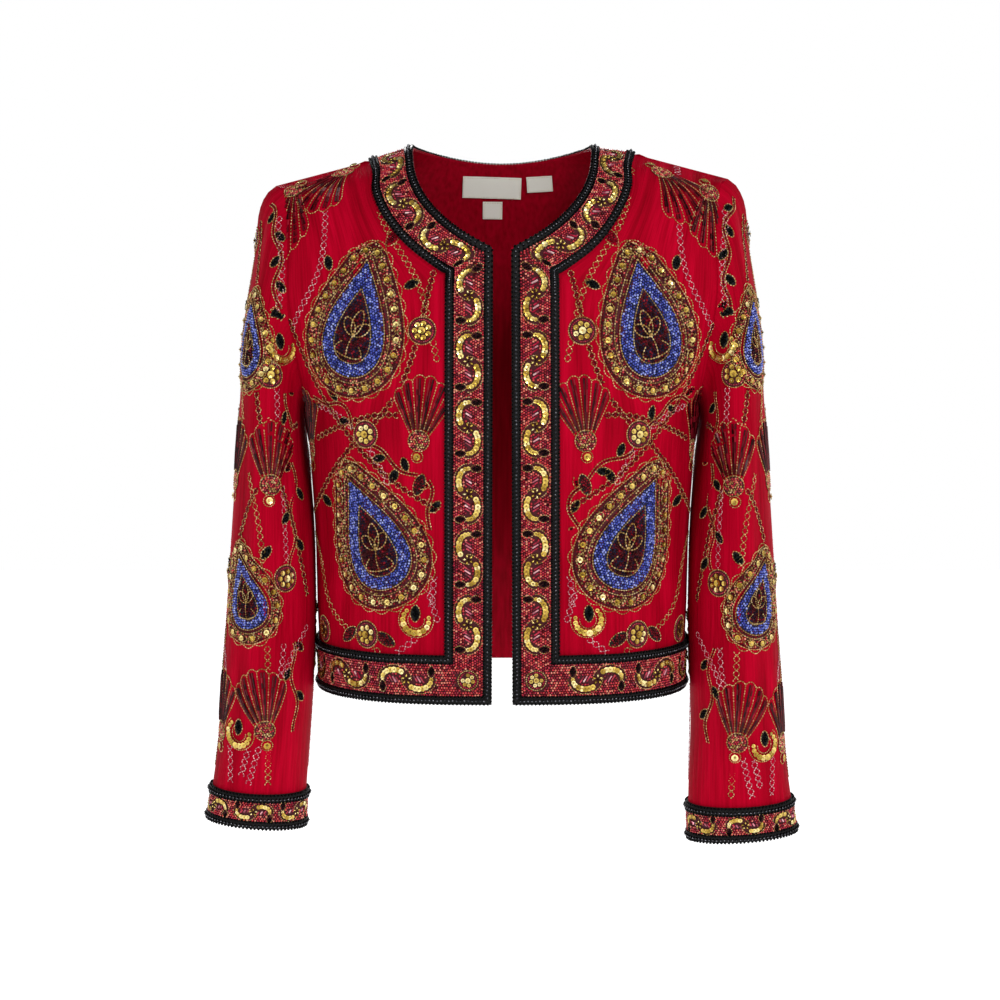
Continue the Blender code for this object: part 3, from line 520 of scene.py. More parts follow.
def fold_sleeve(grid: np.ndarray) -> None:
    """Moves a sleeve grid's points in or out round its middle to make its large folds."""
    turn = 360 * np.arange(PATTERN.turns) / PATTERN.turns
    for k in range(1, PATTERN.cuff_top_row):
        middle = grid[k].mean(axis=0)
        size = fold_height(turn, grid[k, :, 2], SLEEVE_FOLDS)
        grid[k] += unit(grid[k] - middle) * size[:, None]


@dataclass
class Seats:
    """Places on the cloth: points, outward directions, directions along, and which are on it.

    `hand` is -1 where the design is seen mirrored, and 1 elsewhere.
    """

    points: np.ndarray
    normals: np.ndarray
    along: np.ndarray
    valid: np.ndarray
    hand: float = 1.0


def fine_axis(values: np.ndarray, spacing: float, closed: bool = False, breaks: Sequence[int] = (),
              places: np.ndarray | None = None) -> tuple[np.ndarray, np.ndarray]:
    """Reads a smooth curve through the values along their first axis, at finer places.

    Args:
        values: Coarse points, with the axis to refine first.
        spacing: Wanted distance between fine points.
        closed: Whether the last value joins the first.
        breaks: Coarse places where the curve may turn a corner.
        places: Fine places to read, or None to work them out.

    Returns:
        The fine values and their places, in steps of the coarse axis.
    """
    count = len(values) if closed else len(values) - 1
    pad = 3 if closed else 0
    if closed:
        values = np.concatenate([values[-pad:], values, values[:pad + 1]])
    chords = np.linalg.norm(np.diff(values, axis=0), axis=-1)
    chords = np.nanmean(chords.reshape(len(chords), -1), axis=1)
    if places is None:
        steps = []
        for i in range(count):
            parts = max(1, round(chords[pad + i] / spacing))
            steps += [i + p / parts for p in range(parts)]
        places = np.array(steps if closed else steps + [count])
    h = chords.reshape(-1, *([1] * (values.ndim - 1)))
    slopes = np.diff(values, axis=0) / h
    middle = (slopes[:-1] * h[1:] + slopes[1:] * h[:-1]) / (h[:-1] + h[1:])
    start = np.concatenate([slopes[:1], middle])
    end = np.concatenate([middle, slopes[-1:]])
    for row in breaks:
        start[row], end[row - 1] = slopes[row], slopes[row - 1]
    i = np.clip(np.floor(places).astype(int) + pad, 0, len(slopes) - 1)
    t = (places + pad - i).reshape(-1, *([1] * (values.ndim - 1)))
    fine = ((1 + 2 * t) * (1 - t) ** 2 * values[i] + t * (1 - t) ** 2 * h[i] * start[i]
            + t * t * (3 - 2 * t) * values[i + 1] + t * t * (t - 1) * h[i] * end[i])
    return fine, places


def grid_quads(rows: int, columns: int, closed: bool = False) -> np.ndarray:
    """Corner numbers of a grid's cells, round to the first column again where it is closed."""
    r, c = np.mgrid[:rows - 1, :columns if closed else columns - 1]
    after = (c + 1) % columns
    corners = (r * columns + c, r * columns + after, (r + 1) * columns + after, (r + 1) * columns + c)
    return np.stack(corners, axis=-1).reshape(-1, 4)


class Cloth:
    """Outer face of one cut piece: a fine grid of points with their outward directions."""

    def __init__(self, points: np.ndarray, rows: np.ndarray, columns: np.ndarray, outward: int,
                 closed: bool = False) -> None:
        """Keeps the grid and works out its outward directions.

        Args:
            points: Fine points, rows by columns; one that isn't on the piece is not a number.
            rows: Place of each fine row on the coarse grid.
            columns: Place of each fine column on the coarse grid.
            outward: 1 where columns then rows turn outwards by the right hand, else -1.
            closed: Whether the last column joins the first.
        """
        self.points, self.rows, self.columns = points, rows, columns
        self.outward, self.closed = outward, closed
        self.turn = int(round(columns[-1])) + 1 if closed else 0
        self.measure()

    def measure(self) -> None:
        """Works out the outward directions again, after the points have moved."""
        flat = np.nan_to_num(self.points.reshape(-1, 3))
        normals = np.zeros_like(flat)
        quads = self.quads()
        a, b, c, d = (flat[quads[:, n]] for n in range(4))
        face = np.cross(c - a, d - b)
        for n in range(4):
            np.add.at(normals, quads[:, n], face)
        self.normals = unit(normals).reshape(self.points.shape)

    def quads(self, keep: Callable[[np.ndarray, np.ndarray], np.ndarray] | None = None) -> np.ndarray:
        """Corner numbers of the cells on the piece, wound outwards.

        Args:
            keep: Tells from a cell's lowest row and column which cells to give, or None for all.

        Returns:
            Four corner numbers for each cell.
        """
        rows, columns = self.points.shape[:2]
        corners = grid_quads(rows, columns, self.closed)
        on = ~np.isnan(self.points.reshape(-1, 3)[:, 0])
        good = on[corners].all(axis=1)
        if keep is not None:
            good &= keep(self.rows[corners[:, 0] // columns], self.columns[corners[:, 0] % columns])
        corners = corners[good]
        return corners if self.outward > 0 else corners[:, ::-1]

    def at(self, rows: np.ndarray, columns: np.ndarray) -> tuple[np.ndarray, np.ndarray, np.ndarray]:
        """Points, outward directions and whether they are on the piece, at some grid places."""
        rows, columns = np.broadcast_arrays(np.asarray(rows, float), np.asarray(columns, float))
        count = len(self.columns)
        fine_row = np.interp(rows, self.rows, np.arange(len(self.rows)))
        if self.closed:
            places = np.append(self.columns, self.turn)
            fine_column = np.interp(columns % self.turn, places, np.arange(count + 1))
        else:
            fine_column = np.interp(columns, self.columns, np.arange(count))
        r = np.clip(fine_row.astype(int), 0, len(self.rows) - 2)
        c = np.clip(fine_column.astype(int), 0, count - (1 if self.closed else 2))
        v, u = (fine_row - r)[..., None], (fine_column - c)[..., None]
        after = np.where(u[..., 0] < 1e-6, c, (c + 1) % count)
        above = np.where(v[..., 0] < 1e-6, r, r + 1)

        def mix(values: np.ndarray) -> np.ndarray:
            """Blends the four corner values."""
            return ((1 - v) * ((1 - u) * values[r, c] + u * values[r, after])
                    + v * ((1 - u) * values[above, c] + u * values[above, after]))

        points = mix(self.points)
        return points, unit(mix(self.normals)), ~np.isnan(points[..., 0])

    def crease(self, folds: Sequence[Fold], place: np.ndarray, near: np.ndarray) -> None:
        """Moves the points along their outward directions to make small creases.

        Args:
            folds: The creases.
            place: x or the turn of each point.
            near: Share of each point's movement, 0 where the cloth is held.
        """
        self.points += self.normals * (fold_height(place, self.points[..., 2], folds) * near)[..., None]
        self.measure()

    def tree(self, keep: Callable[[np.ndarray, np.ndarray], np.ndarray]) -> BVHTree:
        """Search tree over the cells that `keep` picks."""
        flat = np.nan_to_num(self.points.reshape(-1, 3))
        return BVHTree.FromPolygons(flat.tolist(), self.quads(keep).tolist())

    def cut(self) -> tuple[tuple[float, float], float]:
        """Width and length of the flat cut, and its area."""
        flat = np.nan_to_num(self.points.reshape(-1, 3))
        a, b, c, d = (flat[self.quads()[:, n]] for n in range(4))
        area = float(np.linalg.norm(np.cross(c - a, d - b), axis=1).sum() / 2)
        across = np.append(self.points, self.points[:, :1], axis=1) if self.closed else self.points
        width = np.nansum(np.linalg.norm(np.diff(across, axis=1), axis=2), axis=1).max()
        length = np.nansum(np.linalg.norm(np.diff(self.points, axis=0), axis=2), axis=0).max()
        return (round(float(width), 3), round(float(length), 3)), area


CUT_MAP = "cut_in_metres"
SHELL_SPACING = 5.8 * MM
LINING_SPACING = 9 * MM


def fine_cloth(grid: np.ndarray, outward: int, spacing: float, closed: bool = False,
               corner: int | None = None, first_column: int = 0) -> Cloth:
    """Refines a coarse grid both ways, and keeps the neckline's corner sharp where it has one."""
    fine, rows = fine_axis(grid, spacing)
    if corner is not None:
        sharp = fine_axis(grid, spacing, breaks=(corner,), places=rows)[0]
        weight = 1 - soft_step(PATTERN.band_columns, PATTERN.band_columns + 4, np.arange(grid.shape[1]))
        fine = fine + (sharp - fine) * weight[None, :, None]
    across, columns = fine_axis(fine.transpose(1, 0, 2), spacing, closed)
    return Cloth(across.transpose(1, 0, 2).copy(), rows, columns + first_column, outward, closed)


def back_cloth(spacing: float) -> Cloth:
    """Fine cloth of the whole back, with the stretch under the neck band above its top row."""
    half = PATTERN.back_half()
    fold_body(half, Side.BACK, BACK_FOLDS, 0)
    other = half[:, :0:-1] * np.array([-1.0, 1.0, 1.0])
    grid = PATTERN.settle(np.concatenate([other, half], axis=1))
    main = fine_cloth(grid[:PATTERN.top_row + 1], -1, spacing, first_column=-PATTERN.columns)
    band = PATTERN.band_columns
    middle = PATTERN.columns
    neck, rows = fine_axis(grid[PATTERN.top_row:, middle - band:middle + band + 1], spacing)
    inside = np.abs(main.columns) <= band + 1e-6
    neck = fine_axis(neck.transpose(1, 0, 2), spacing, places=main.columns[inside] + band)[0]
    extra = np.full((len(rows) - 1, len(main.columns), 3), np.nan)
    extra[:, inside] = neck.transpose(1, 0, 2)[1:]
    points = np.concatenate([main.points, extra])
    return Cloth(points, np.concatenate([main.rows, PATTERN.top_row + rows[1:]]), main.columns, -1)


def front_cloth(mirrored: bool, spacing: float) -> Cloth:
    """Fine cloth of one front."""
    grid = PATTERN.front()
    fold_body(grid, Side.FRONT, FRONT_FOLDS, PATTERN.band_columns)
    if mirrored:
        grid = grid * np.array([-1.0, 1.0, 1.0])
    return fine_cloth(PATTERN.settle(grid), -1 if mirrored else 1, spacing, corner=PATTERN.corner_row)


def sleeve_cloth(mirrored: bool, spacing: float) -> Cloth:
    """Fine cloth of one sleeve."""
    drop, wider = (0.0, 0.0) if mirrored else (PATTERN.left_sleeve_drop, PATTERN.left_cuff_wider)
    grid = PATTERN.sleeve_grid(drop, wider)
    fold_sleeve(grid)
    if mirrored:
        grid = grid * np.array([-1.0, 1.0, 1.0])
    return fine_cloth(PATTERN.settle(grid), -1 if mirrored else 1, spacing, closed=True)


def linear(code: str) -> tuple[float, float, float, float]:
    """Linear colour of an sRGB hex value."""
    parts = [int(code[i:i + 2], 16) / 255 for i in (1, 3, 5)]
    return (*(p / 12.92 if p <= 0.04045 else ((p + 0.055) / 1.055) ** 2.4 for p in parts), 1.0)


def add_node(tree: bpy.types.NodeTree, kind: str, settings: dict | None = None,
             inputs: dict | None = None, stops: Sequence[tuple[float, str]] = ()) -> bpy.types.Node:
    """Adds a node with its settings, values and links.

    Args:
        tree: Node tree to add it to.
        kind: Blender's name of the node's type.
        settings: Its properties.
        inputs: Its sockets, each given a value or another node's output to link from.
        stops: Place and hex colour of each stop, on a colour ramp.

    Returns:
        The node.
    """
    made = tree.nodes.new(kind)
    for name, value in (settings or {}).items():
        setattr(made, name, value)
    for name, value in (inputs or {}).items():
        if isinstance(value, bpy.types.NodeSocket):
            tree.links.new(value, made.inputs[name])
        else:
            made.inputs[name].default_value = value
    for number, (place, code) in enumerate(stops):
        elements = made.color_ramp.elements
        element = elements[number] if number < len(elements) else elements.new(1.0)
        element.position, element.color = place, linear(code)
    return made


def new_material(name: str, values: dict, colour_at: Callable[[bpy.types.NodeTree], tuple]
                 ) -> bpy.types.Material:
    """Makes a material.

    Args:
        name: The real material and its surface.
        values: What is the same all over, for the shader's own sockets.
        colour_at: Adds the nodes to a tree and gives the outputs for colour and, or None, for normal.

    Returns:
        The material.
    """
    material = bpy.data.materials.new(name)
    material.use_nodes = True
    tree = material.node_tree
    shader = tree.nodes["Principled BSDF"]
    for socket, value in values.items():
        shader.inputs[socket].default_value = value
    colour, normal = colour_at(tree)
    tree.links.new(colour, shader.inputs["Base Color"])
    if normal:
        tree.links.new(normal, shader.inputs["Normal"])
    return material


def stretched_noise(tree: bpy.types.NodeTree, place: bpy.types.NodeSocket, marks: tuple[float, ...],
                    detail: float, roughness: float = 0.5) -> bpy.types.NodeSocket:
    """Noise whose marks have the given sizes in metres along the three directions of `place`."""
    mapping = add_node(tree, "ShaderNodeMapping", inputs={
        "Vector": place, "Scale": tuple(1 / mark for mark in marks)})
    noise = add_node(tree, "ShaderNodeTexNoise", inputs={
        "Vector": mapping.outputs[0], "Scale": 1.0, "Detail": detail, "Roughness": roughness})
    return noise.outputs["Fac"]


@dataclass(frozen=True)
class SilkCrepe:
    """Crinkled silk georgette: fine upright ridges break the light into soft streaks."""

    name: str = "crinkled_silk_crepe"
    dark: str = "#76000F"
    mid: str = "#9A001B"
    light: str = "#B60226"
    crinkle: float = 2.4 * MM
    crinkle_long: float = 60 * MM
    broad: float = 22 * MM
    broad_long: float = 190 * MM
    thread: float = 0.9 * MM

    def material(self) -> bpy.types.Material:
        """Streaked red: rough, with hardly any gloss, and a little sheen at its edges."""
        return new_material(self.name, {
            "Roughness": 0.60, "Specular IOR Level": 0.2, "IOR": 1.12, "Sheen Weight": 0.03,
            "Sheen Roughness": 0.4, "Sheen Tint": linear("#E0203C")}, self.crinkled)

    def crinkled(self, tree: bpy.types.NodeTree) -> tuple[bpy.types.NodeSocket, bpy.types.NodeSocket]:
        """Upright ridges with a weave under them.

        The thread is drawn a little coarser than silk's, so that it shows.
        """
        place = add_node(tree, "ShaderNodeUVMap", {"uv_map": CUT_MAP}).outputs["UV"]
        fine, broad, thread = (
            stretched_noise(tree, place, (wide, long, 1.0), 2.5, 0.55) for wide, long in (
                (self.crinkle, self.crinkle_long), (self.broad, self.broad_long),
                (self.thread, self.thread * 1.6)))
        tone = add_node(tree, "ShaderNodeMix", {"data_type": "FLOAT"}, {0: 0.40, 2: broad, 3: fine})
        colour = add_node(tree, "ShaderNodeValToRGB", inputs={"Fac": tone.outputs[0]}, stops=(
            (0.32, self.dark), (0.50, self.mid), (0.68, self.light)))
        ridges = add_node(tree, "ShaderNodeBump", inputs={
            "Strength": 0.6, "Distance": 1.1 * MM, "Height": fine})
        weave = add_node(tree, "ShaderNodeBump", inputs={
            "Strength": 0.35, "Distance": 0.3 * MM, "Height": thread, "Normal": ridges.outputs[0]})
        return colour.outputs["Color"], weave.outputs[0]


@dataclass(frozen=True)
class SatinLining:
    """Acetate satin: smooth and close-woven, with a low even lustre."""

    name: str = "acetate_satin_lining"
    dark: str = "#7E0012"
    light: str = "#9C001C"
    slub: float = 3.0 * MM
    slub_long: float = 60 * MM

    def material(self) -> bpy.types.Material:
        """Deep red with a satin gloss."""
        return new_material(
            self.name, {"Roughness": 0.46, "Specular IOR Level": 0.12, "IOR": 1.2}, self.slubbed)

    def slubbed(self, tree: bpy.types.NodeTree) -> tuple[bpy.types.NodeSocket, bpy.types.NodeSocket]:
        """Faint slubs, long up the cloth."""
        place = add_node(tree, "ShaderNodeTexCoord").outputs["Object"]
        slubs = stretched_noise(tree, place, (self.slub, self.slub, self.slub_long), 2.0)
        colour = add_node(tree, "ShaderNodeValToRGB", inputs={"Fac": slubs}, stops=(
            (0.3, self.dark), (0.7, self.light)))
        bump = add_node(tree, "ShaderNodeBump", inputs={
            "Strength": 0.25, "Distance": 0.2 * MM, "Height": slubs})
        return colour.outputs["Color"], bump.outputs[0]


@dataclass(frozen=True)
class LabelTape:
    """Woven polyester label tape: fine ribs across it catch the light."""

    name: str = "woven_label_tape"
    dark: str = "#D8DACE"
    light: str = "#F4F4EA"
    rib: float = 0.9 * MM

    def material(self) -> bpy.types.Material:
        """Cream tape with a low even gloss."""
        return new_material(self.name, {"Roughness": 0.5}, self.ribbed)

    def ribbed(self, tree: bpy.types.NodeTree) -> tuple[bpy.types.NodeSocket, bpy.types.NodeSocket]:
        """Level ribs, drawn coarser than real ones so that they show."""
        place = add_node(tree, "ShaderNodeTexCoord").outputs["Object"]
        ribs = add_node(tree, "ShaderNodeTexWave", {"bands_direction": "Z"}, {
            "Vector": place, "Scale": math.tau / (self.rib * 20), "Distortion": 0.4, "Detail": 1.0})
        colour = add_node(tree, "ShaderNodeValToRGB", inputs={"Fac": ribs.outputs["Fac"]}, stops=(
            (0.1, self.dark), (0.8, self.light)))
        bump = add_node(tree, "ShaderNodeBump", inputs={
            "Strength": 0.35, "Distance": 0.15 * MM, "Height": ribs.outputs["Fac"]})
        return colour.outputs["Color"], bump.outputs[0]


@dataclass(frozen=True)
class BeadFinish:
    """One glass, metal or thread finish, with the spread of its colours from bead to bead."""

    name: str
    colours: tuple[str, ...]
    roughness: float = 0.2
    metallic: float = 0.0
    coat: float = 0.0
    specular: float = 0.4
    mottle: float = 1.2 * MM

    def material(self) -> bpy.types.Material:
        """Gloss of the glass, metal or thread, under a thin clear coat where it has one."""
        return new_material(self.name, {
            "Roughness": self.roughness, "Metallic": self.metallic, "Specular IOR Level": self.specular,
            "Coat Weight": self.coat, "Coat Roughness": 0.08}, self.mottled)

    def mottled(self, tree: bpy.types.NodeTree) -> tuple[bpy.types.NodeSocket, None]:
        """Colour from each bead's own tint, mottled a little."""
        tint = add_node(tree, "ShaderNodeAttribute", {"attribute_name": "tint"}).outputs["Fac"]
        place = add_node(tree, "ShaderNodeTexCoord").outputs["Object"]
        noise = add_node(tree, "ShaderNodeTexNoise", inputs={
            "Vector": place, "Scale": 1 / self.mottle, "Detail": 1.0})
        both = add_node(tree, "ShaderNodeMix", {"data_type": "FLOAT"}, {
            0: 0.18, 2: tint, 3: noise.outputs["Fac"]})
        last = max(len(self.colours) - 1, 1)
        stops = [(0.08 + 0.84 * i / last, code) for i, code in enumerate(self.colours)]
        colour = add_node(tree, "ShaderNodeValToRGB", inputs={"Fac": both.outputs[0]}, stops=stops)
        return colour.outputs["Color"], None


class Finish(Enum):
    """Every finish that is sewn on the jacket."""

    CORAL = BeadFinish("opaque_coral_glass", ("#6C0E1A", "#BC2636", "#D84444", "#F09A80"), 0.22, coat=0.25)
    ROSE = BeadFinish("translucent_rose_glass", ("#5A0418", "#9A1230", "#BE2C46"), 0.18, coat=0.3)
    WINE = BeadFinish("dark_wine_glass", ("#140203", "#300508", "#560C16"), 0.2, specular=0.15)
    BURGUNDY = BeadFinish("burgundy_glass", ("#2E0308", "#5E0712", "#8C1424"), 0.2, specular=0.15)
    JET = BeadFinish("jet_black_glass", ("#010101", "#030304", "#08080B"), 0.30, specular=0.05)
    # Light grey beads on the edging's middle row: painted glints that stand in for the jet beads'
    # highlights.
    PAINTED_GLINT = BeadFinish("painted_glint_grey_glass", ("#5A5A62", "#84848E", "#B8B8C2"), 0.2, 0.3, 0.3)
    GOLD = BeadFinish("gold_lined_glass", ("#80602C", "#B08A48", "#D0AE6C", "#EAD29A"), 0.30, 0.55)
    BLUE = BeadFinish("lustred_blue_glass", ("#12175C", "#2E3A9C", "#5A68C8", "#A9B2EC"), 0.16, coat=0.5)
    PINK = BeadFinish("silver_lined_pink_glass", ("#A84A5E", "#D0808C", "#EFC6C4"), 0.2, 0.25, coat=0.3)
    SEQUIN = BeadFinish("gilt_film_sequin", ("#8E7026", "#BC9A40", "#D8BC62", "#EFE0A4"), 0.26, 0.85)
    BLACK_CORD = BeadFinish("black_cotton_cord", ("#020202", "#070707"), 0.85)
    # Dark backings under beaded areas: painted shade, so that the gaps between the beads read dark.
    WINE_SHADE_BACKING = BeadFinish("wine_backing_painted_shade", ("#2C030A", "#520614"), 0.85)
    NIGHT_SHADE_BACKING = BeadFinish("night_blue_backing_painted_shade", ("#080A24", "#10133A"), 0.85)
    THREAD = BeadFinish("cream_sewing_thread", ("#B8A987", "#E6DBC0"), 0.7)


class MaterialBook:
    """Makes each finish's material once."""

    def __init__(self) -> None:
        """Starts with the three cloths and no bead finish."""
        self.silk = SilkCrepe().material()
        self.lining = SatinLining().material()
        self.label = LabelTape().material()
        self.made: dict[Finish, bpy.types.Material] = {}

    def of(self, finish: Finish) -> bpy.types.Material:
        """The material of a finish."""
        if finish not in self.made:
            self.made[finish] = finish.value.material()
        return self.made[finish]


def place_piece(thing: bpy.types.Object, replaces: Sequence[str] = ()) -> bpy.types.Object:
    """Fixes a piece to the part's one body, hides the nodes that it stands for and logs its triangles."""
    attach(thing, "root")
    if replaces:
        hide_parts(*replaces)
    triangles = sum(len(p.vertices) - 2 for p in thing.data.polygons)
    log.info("%-34s %7d triangles", thing.name, triangles)
    return thing


def add_mesh(name: str, points: np.ndarray, faces: np.ndarray | list) -> bpy.types.Object:
    """Adds one mesh object to the scene."""
    mesh = bpy.data.meshes.new(name)
    mesh.from_pydata(points.tolist(), [], faces.tolist() if isinstance(faces, np.ndarray) else faces)
    thing = bpy.data.objects.new(name, mesh)
    bpy.context.scene.collection.objects.link(thing)
    return thing


def rim_of(quads: np.ndarray) -> np.ndarray:
    """Edges that only one of the quads has, in that quad's direction."""
    edges = np.concatenate([quads[:, [n, (n + 1) % 4]] for n in range(4)])
    reach = int(quads.max()) + 1
    code, back = edges[:, 0] * reach + edges[:, 1], edges[:, 1] * reach + edges[:, 0]
    return edges[~np.isin(code, back)]


def slab_quads(quads: np.ndarray, count: int) -> np.ndarray:
    """Quads of a closed slab: outer ones, inner ones with each point `count` later, and its sides."""
    rim = rim_of(quads)
    sides = np.column_stack([rim[:, 1], rim[:, 0], rim[:, 0] + count, rim[:, 1] + count])
    return np.concatenate([quads, quads[:, ::-1] + count, sides])


def cloth_shell(name: str, cloth: Cloth, thickness: float, outer: bpy.types.Material,
                inner: bpy.types.Material, sunk: float = 0.0,
                keep: Callable[[np.ndarray, np.ndarray], np.ndarray] | None = None) -> bpy.types.Object:
    """Thin closed shell with its outer face on the cloth.

    Args:
        name: Name of the piece.
        cloth: The cloth it follows.
        thickness: How far its inner face lies inside its outer one.
        outer: Material of the outer face.
        inner: Material of the inner face and the rim.
        sunk: How far its outer face lies inside the cloth.
        keep: Which of the cloth's cells it has, or None for all.

    Returns:
        The piece.
    """
    quads = cloth.quads(keep)
    used, inverse = np.unique(quads, return_inverse=True)
    quads = inverse.reshape(-1, 4)
    points, normals = cloth.points.reshape(-1, 3)[used], cloth.normals.reshape(-1, 3)[used]
    faces = slab_quads(quads, len(used))
    both = np.concatenate([points - normals * sunk, points - normals * (sunk + thickness)])
    thing = add_mesh(name, both, faces)
    mesh = thing.data
    mesh.materials.append(outer)
    mesh.materials.append(inner)
    mesh.polygons.foreach_set("material_index", (np.arange(len(faces)) >= len(quads)).astype(int))
    spread = cloth_uv(cloth, used)
    halves = np.concatenate([spread * (0.49, 1.0), spread * (0.49, 1.0) + (0.51, 0.0)])
    lay = mesh.uv_layers.new(name="OFBake")
    lay.uv.foreach_set("vector", halves[faces.reshape(-1)].astype(np.float32).reshape(-1))
    cut = np.tile(cloth_cut_places(cloth, used), (2, 1))
    lay = mesh.uv_layers.new(name=CUT_MAP)
    lay.uv.foreach_set("vector", cut[faces.reshape(-1)].astype(np.float32).reshape(-1))
    mesh.shade_smooth()
    mesh.set_sharp_from_angle(angle=math.radians(50))
    return thing


def cloth_uv(cloth: Cloth, used: np.ndarray) -> np.ndarray:
    """Place of each point on the cut piece, as shares of its width and height."""
    rows, columns = cloth.points.shape[:2]
    return np.column_stack([(used % columns) / columns, (used // columns) / rows])


def cloth_cut_places(cloth: Cloth, used: np.ndarray) -> np.ndarray:
    """Place of each point on the flat cut, in metres across and up."""
    rows, columns = cloth.points.shape[:2]
    across = run_of(np.nan_to_num(cloth.points[rows // 2]))
    up = run_of(np.nan_to_num(cloth.points[:, columns // 2]))
    return np.column_stack([across[used % columns], up[used // columns]])


@dataclass(frozen=True)
class SoftLight:
    """One square soft light that faces the middle of the jacket."""

    name: str
    place: tuple[float, float, float]
    size: float
    watts: float

    def build(self) -> None:
        """Adds the light."""
        data = bpy.data.lights.new(self.name, "AREA")
        data.size, data.energy = self.size, self.watts
        light = bpy.data.objects.new(self.name, data)
        light.location = self.place
        aim = JACKET_MIDDLE - Vector(self.place)
        light.rotation_euler = aim.to_track_quat("-Z", "Y").to_euler()
        bpy.context.scene.collection.objects.link(light)


@dataclass(frozen=True)
class PaperFloor:
    """White paper well below the jacket, bright and hardly mottled."""

    z: float = -1.35
    size: float = 14.0
    dark: str = "#F6F6F6"
    light: str = "#FAFAFA"
    mottle: float = 1 / 3
    glow: float = 0.9

    def build(self) -> None:
        """Adds the floor as part of the stage."""
        half = self.size / 2
        corners = [(x, y, self.z) for x, y in ((-half, -half), (half, -half), (half, half), (-half, half))]
        floor = add_mesh("floor", np.array(corners), [(0, 1, 2, 3)])
        floor.data.materials.append(new_material("white_paper", {
            "Roughness": 0.9, "Emission Color": (1.0, 1.0, 1.0, 1.0), "Emission Strength": self.glow},
            self.mottled))

    def mottled(self, tree: bpy.types.NodeTree) -> tuple[bpy.types.NodeSocket, None]:
        """Two whites that hardly differ."""
        place = add_node(tree, "ShaderNodeTexCoord").outputs["Object"]
        noise = add_node(tree, "ShaderNodeTexNoise", inputs={"Vector": place, "Scale": 1 / self.mottle})
        colour = add_node(tree, "ShaderNodeValToRGB", inputs={"Fac": noise.outputs["Fac"]}, stops=(
            (0.3, self.dark), (0.7, self.light)))
        return colour.outputs["Color"], None


@dataclass(frozen=True)
class Studio:
    """Plain pale studio: the camera at the photograph's place, soft lights and a white floor."""

    focal_pixels: float = 2316.0
    image_pixels: float = 1000.0
    horizon_row: float = 258.0
    sensor: float = 36.0
    camera_x: float = -0.0019
    camera_z: float = -0.103
    distance: float = 2.2
    horizon: str = "#FFFFFF"
    zenith: str = "#6A6A6E"
    lights: tuple[SoftLight, ...] = (
        SoftLight("key", (1.0, -2.3, 1.3), 0.7, 36.0),
        SoftLight("fill", (-1.9, -2.2, 0.6), 0.5, 3.0),
        SoftLight("top", (0.2, -0.3, 2.3), 0.8, 9.0),
        SoftLight("rear", (-0.3, 2.6, 0.9), 0.9, 26.0),
    )

    def build(self) -> None:
        """Adds the camera, the lights, the world and the floor."""
        self.add_camera()
        for light in self.lights:
            light.build()
        self.add_world()
        PaperFloor().build()
        bpy.context.scene.view_settings.view_transform = "Standard"

    def add_camera(self) -> None:
        """Camera at chest height, tipped down by the photograph's horizon."""
        data = bpy.data.cameras.new("camera")
        data.sensor_width = self.sensor
        data.lens = self.sensor * self.focal_pixels / self.image_pixels
        camera = bpy.data.objects.new("camera", data)
        tilt = math.atan((self.image_pixels / 2 - self.horizon_row) / self.focal_pixels)
        camera.location = (self.camera_x, -self.distance, self.camera_z)
        camera.rotation_euler = (math.pi / 2 - tilt, 0.0, 0.0)
        bpy.context.scene.collection.objects.link(camera)
        bpy.context.scene.camera = camera

    def add_world(self) -> None:
        """White surroundings at eye level, greyer overhead, as in a room with white walls."""
        world = bpy.data.worlds.new("studio")
        world.use_nodes = True
        tree = world.node_tree
        place = add_node(tree, "ShaderNodeTexCoord").outputs["Generated"]
        height = add_node(tree, "ShaderNodeSeparateXYZ", inputs={"Vector": place}).outputs["Z"]
        colour = add_node(tree, "ShaderNodeValToRGB", inputs={"Fac": height}, stops=(
            (0.30, self.horizon), (0.62, self.zenith)))
        tree.links.new(colour.outputs["Color"], tree.nodes["Background"].inputs["Color"])
        bpy.context.scene.world = world


class Shape(Enum):
    """What is sewn on: its low mesh stands on the cloth in a unit box, its length along +X."""

    SEED = "seed bead"
    BUGLE = "bugle bead"
    SEQUIN = "cup sequin"
    FACET = "faceted bead"


def ring_of(sides: int, radius: float, z: float) -> list[tuple[float, float, float]]:
    """Corners of a level ring."""
    turns = [2 * math.pi * i / sides for i in range(sides)]
    return [(radius * math.cos(t), radius * math.sin(t), z) for t in turns]


def fan_of(ring: Sequence[int], tip: int, up: bool) -> list[tuple[int, int, int]]:
    """Triangles from a ring of corners to one tip."""
    pairs = zip(ring, [*ring[1:], ring[0]])
    return [(a, b, tip) if up else (b, a, tip) for a, b in pairs]


def seed_mesh(sides: int = 4) -> tuple[np.ndarray, np.ndarray]:
    """Round seed bead: a soft double cone."""
    points = [*ring_of(sides, 0.56, 0.34), (0, 0, 0.84), (0, 0, 0.0)]
    ring = list(range(sides))
    return np.array(points), np.array(fan_of(ring, sides, True) + fan_of(ring, sides + 1, False))


def bugle_mesh(sides: int = 4) -> tuple[np.ndarray, np.ndarray]:
    """Straight glass tube with flat sides."""
    turns = [2 * math.pi * (i + 0.25) / sides for i in range(sides)]
    section = [(0.5 * math.cos(t), 0.5 + 0.5 * math.sin(t)) for t in turns]
    points = [(x, y, z) for x in (-0.5, 0.5) for y, z in section]
    faces = []
    for i in range(sides):
        a, b = i, (i + 1) % sides
        faces += [(a, b, b + sides), (a, b + sides, a + sides)]
    for i in range(1, sides - 1):
        faces += [(0, i + 1, i), (sides, sides + i, sides + i + 1)]
    return np.array(points), np.array(faces)


def sequin_mesh(sides: int = 7) -> tuple[np.ndarray, np.ndarray]:
    """Cupped sequin: a faceted dish with its middle low."""
    points = [*ring_of(sides, 0.5, 0.20), (0, 0, 0.07), (0, 0, 0.0)]
    ring = list(range(sides))
    return np.array(points), np.array(fan_of(ring, sides, True) + fan_of(ring, sides + 1, False))


